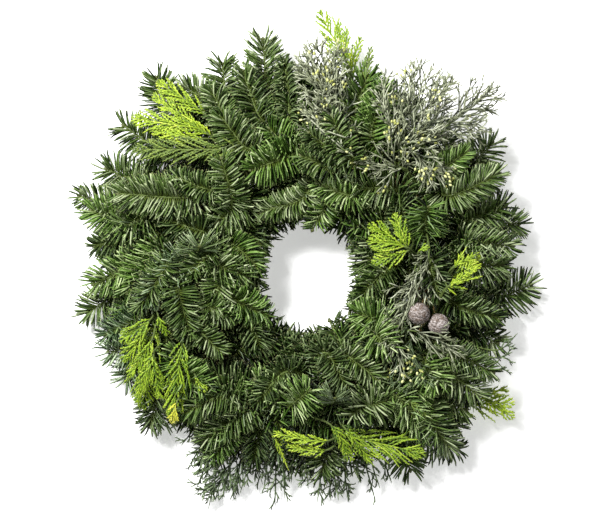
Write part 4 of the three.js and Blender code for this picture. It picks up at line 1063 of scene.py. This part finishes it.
def add_straw_core(batch):
    turns = np.linspace(0, math.tau, 121)
    edge = [(0, CORE_BOTTOM)]
    for angle in np.linspace(-FLAT_ANGLE, math.pi + FLAT_ANGLE, 19):
        height = RING_CENTRE_HEIGHT + RING_HALF_HEIGHT * math.sin(angle)
        edge.append((RING_HALF_WIDTH * math.cos(angle) * CORE_NARROWER, max(height, CORE_BOTTOM)))
    loops = np.array([[on_ring(turn, *corner) for turn in turns] for corner in edge])
    loops[..., 2] -= np.where(loops[..., 2] > CORE_TOP, CORE_TOP_LOWER, 0)
    rows, columns = loops.shape[:2]
    a = np.arange(rows * columns).reshape(rows, columns)
    b = np.roll(a, -1, 0)
    quads = np.stack([a[:, :-1], b[:, :-1], b[:, 1:], a[:, 1:]], -1).reshape(-1, 4)
    faces = quads[:, [0, 2, 1, 0, 3, 2]].reshape(-1, 3)
    chart = np.stack(np.meshgrid(np.linspace(0.82, 0.98, rows), np.linspace(0, 1, columns),
                                 indexing="ij"), -1).reshape(-1, 2)
    values = np.tile([0.3, 0.5, 0], (rows * columns, 1))
    batch.add(loops.reshape(-1, 3), faces, chart[faces].reshape(-1, 6), values, 0)


def add_straws(batch, random, path, facing, flatness):
    number = len(path)
    width = np.repeat(random.uniform(*STRAW_HALF_WIDTHS, number)[:, None], STRAW_STEPS, 1)
    tint = random.random(number)
    batch.strands(path, facing, width, width * flatness, LENS, tint, 0, LEAF_COLUMNS)


def ring_piece():
    random = seeded("straw")
    batch = Batch()
    add_straw_core(batch)
    places = np.linspace(-0.5, 0.5, STRAW_STEPS)
    start = random.uniform(0, math.tau, STRAWS)
    run = random.uniform(*STRAW_LENGTHS, STRAWS) / RING_RADIUS
    angle = random.uniform(-FLAT_ANGLE, math.pi + FLAT_ANGLE, STRAWS)
    drift = random.normal(0, 0.16, STRAWS)
    section = np.clip(angle[:, None] + drift[:, None] * places, -FLAT_ANGLE, math.pi + FLAT_ANGLE)
    lift = random.uniform(-1.3, 0.1, STRAWS)[:, None]
    reach = RING_RADIUS + (RING_HALF_WIDTH + lift) * np.cos(section)
    height = RING_CENTRE_HEIGHT + (RING_HALF_HEIGHT + lift) * np.sin(section)
    path = around_ring(reach, start[:, None] + run[:, None] * places, np.maximum(height, 0.9))
    middle = around_ring(RING_RADIUS, start, np.full(STRAWS, RING_CENTRE_HEIGHT))
    add_straws(batch, random, path, unit(path[:, STRAW_STEPS // 2] - middle), 0.5)
    start = random.uniform(0, math.tau, BACK_STRAWS)
    reach = RING_RADIUS + random.uniform(-10, 10, BACK_STRAWS)[:, None]
    reach = reach + random.normal(0, 1, BACK_STRAWS)[:, None] * places
    run = random.uniform(*BACK_STRAW_LENGTHS, BACK_STRAWS) / RING_RADIUS
    height = np.broadcast_to(random.uniform(0.75, 1.6, BACK_STRAWS)[:, None], reach.shape)
    path = around_ring(reach, start[:, None] + run[:, None] * places, height)
    add_straws(batch, random, path, np.tile([0, 0, -1.0], (BACK_STRAWS, 1)), 0.45)
    batch.piece("packed_straw", [STRAW], "straw", "straw_ring")


# Binding wire: one long helix round the ring, which the script winds as the CAD does
WIRE_UNDER_SHARES = (-0.14, 0.64)
WIRE_FACING = (0.31, 0.23, 0.92)


def wire_piece():
    section = []
    for angle in WIRE_SECTION_ANGLES:
        point = surface_point(0, math.radians(angle), WIRE_OVER_STEMS)
        section.append((angle / 360, point[0] - RING_RADIUS, point[2]))
    before, after = WIRE_UNDER_SHARES
    section = [(before, WIRE_UNDER_REACH, WIRE_UNDER_HEIGHT), *section]
    section.append((after, -WIRE_UNDER_REACH, WIRE_UNDER_HEIGHT))
    corners = []
    for turn in range(WIRE_TURNS):
        for share, outward, height in section:
            angle = math.radians(WIRE_START) + (turn + share) * math.tau / WIRE_TURNS
            corners.append(on_ring(angle, outward, height))
    corners = np.array(corners)
    path = []
    for first, second in zip(corners[:-1], corners[1:]):
        path += [lerp(first, second, share) for share in (0, 0.25, 0.5, 0.75)]
    path = np.array(path + [corners[-1]])
    soft = path.copy()
    soft[2:-2] = (path[:-4] + path[1:-3] + path[2:-2] + path[3:-1] + path[4:]) / 5
    soft[:, 2] = np.where(path[:, 2] < 1, path[:, 2], soft[:, 2])
    batch = Batch()
    radii = np.full((1, len(soft)), WIRE_RADIUS)
    batch.strands(soft[None], np.array([WIRE_FACING]), radii, radii, SIX, np.array([0.5]), 0,
                  (0.0, 1.0, 1))
    batch.piece("wound_wire", [LACQUER], "wire", "binding_wire")


for number, row in enumerate(FIR):
    fir_piece(number, row)
for number, row in enumerate(UNDER):
    under_pieces(number, row)
spray_pieces("gold_frond", GOLD, "gold", add_frond, [BARK])
spray_pieces("grey_spray", GREY, "grey", add_spray, [BARK, POLLEN])
for number, row in enumerate(CONES):
    cone_piece(number, row)
loose_fir_pieces()
loose_spray_pieces()
ring_piece()
wire_piece()

# Floor, lights and camera, in metres, but the sensor and the frame's middle are in millimetres. A
# light has a name, place, width and power
FLOOR_REACH = 4
WORLD_STRENGTH = 0.115
LIGHTS = (("key", (-1.1, 1.2, 2.15), 0.85, 151), ("soft", (1.7, -0.6, 1.6), 1.6, 8))
VIEW_DISTANCE = 10
VIEW_HEIGHT = 0.045
VIEW_WIDTH = 0.6
VIEW_REACH = 20
SENSOR_WIDTH = 36
# The middle of the photograph's frame, from the ring's centre
VIEW_MIDDLE = (-6, 11)

floor_mesh = bpy.data.meshes.new("floor")
floor_corners = [(x * FLOOR_REACH, y * FLOOR_REACH, 0) for x, y in ((-1, -1), (1, -1), (1, 1), (-1, 1))]
floor_mesh.from_pydata(floor_corners, [], [(0, 1, 2, 3)])
floor_mesh.materials.append(floor_material())
floor = bpy.data.objects.new("floor", floor_mesh)
bpy.context.scene.collection.objects.link(floor)


def add_light(name, place, size, power):
    lamp = bpy.data.lights.new(name, "AREA")
    lamp.shape = "DISK"
    lamp.size = size
    lamp.energy = power
    light = bpy.data.objects.new(name, lamp)
    light.location = place
    towards = -np.array(place)
    pitch = math.atan2(math.hypot(towards[0], towards[1]), -towards[2])
    light.rotation_euler = (pitch, 0, math.atan2(-towards[0], towards[1]))
    bpy.context.scene.collection.objects.link(light)


for light_row in LIGHTS:
    add_light(*light_row)
world = bpy.data.worlds.new("studio")
world.use_nodes = True
world.node_tree.nodes["Background"].inputs["Color"].default_value = (1, 1, 1, 1)
world.node_tree.nodes["Background"].inputs["Strength"].default_value = WORLD_STRENGTH
bpy.context.scene.world = world
bpy.context.scene.view_settings.view_transform = "Standard"

# The photograph's frame is 600 by 514, with a pixel for a millimetre
camera_data = bpy.data.cameras.new("camera")
camera_data.sensor_width = SENSOR_WIDTH
camera_data.lens = SENSOR_WIDTH * VIEW_DISTANCE / VIEW_WIDTH
camera_data.clip_end = VIEW_REACH
camera = bpy.data.objects.new("camera", camera_data)
view_x, view_y = ((SHIFT[i] + VIEW_MIDDLE[i]) * MM for i in range(2))
camera.location = (view_x, view_y, VIEW_DISTANCE + VIEW_HEIGHT)
bpy.context.scene.collection.objects.link(camera)
bpy.context.scene.camera = camera
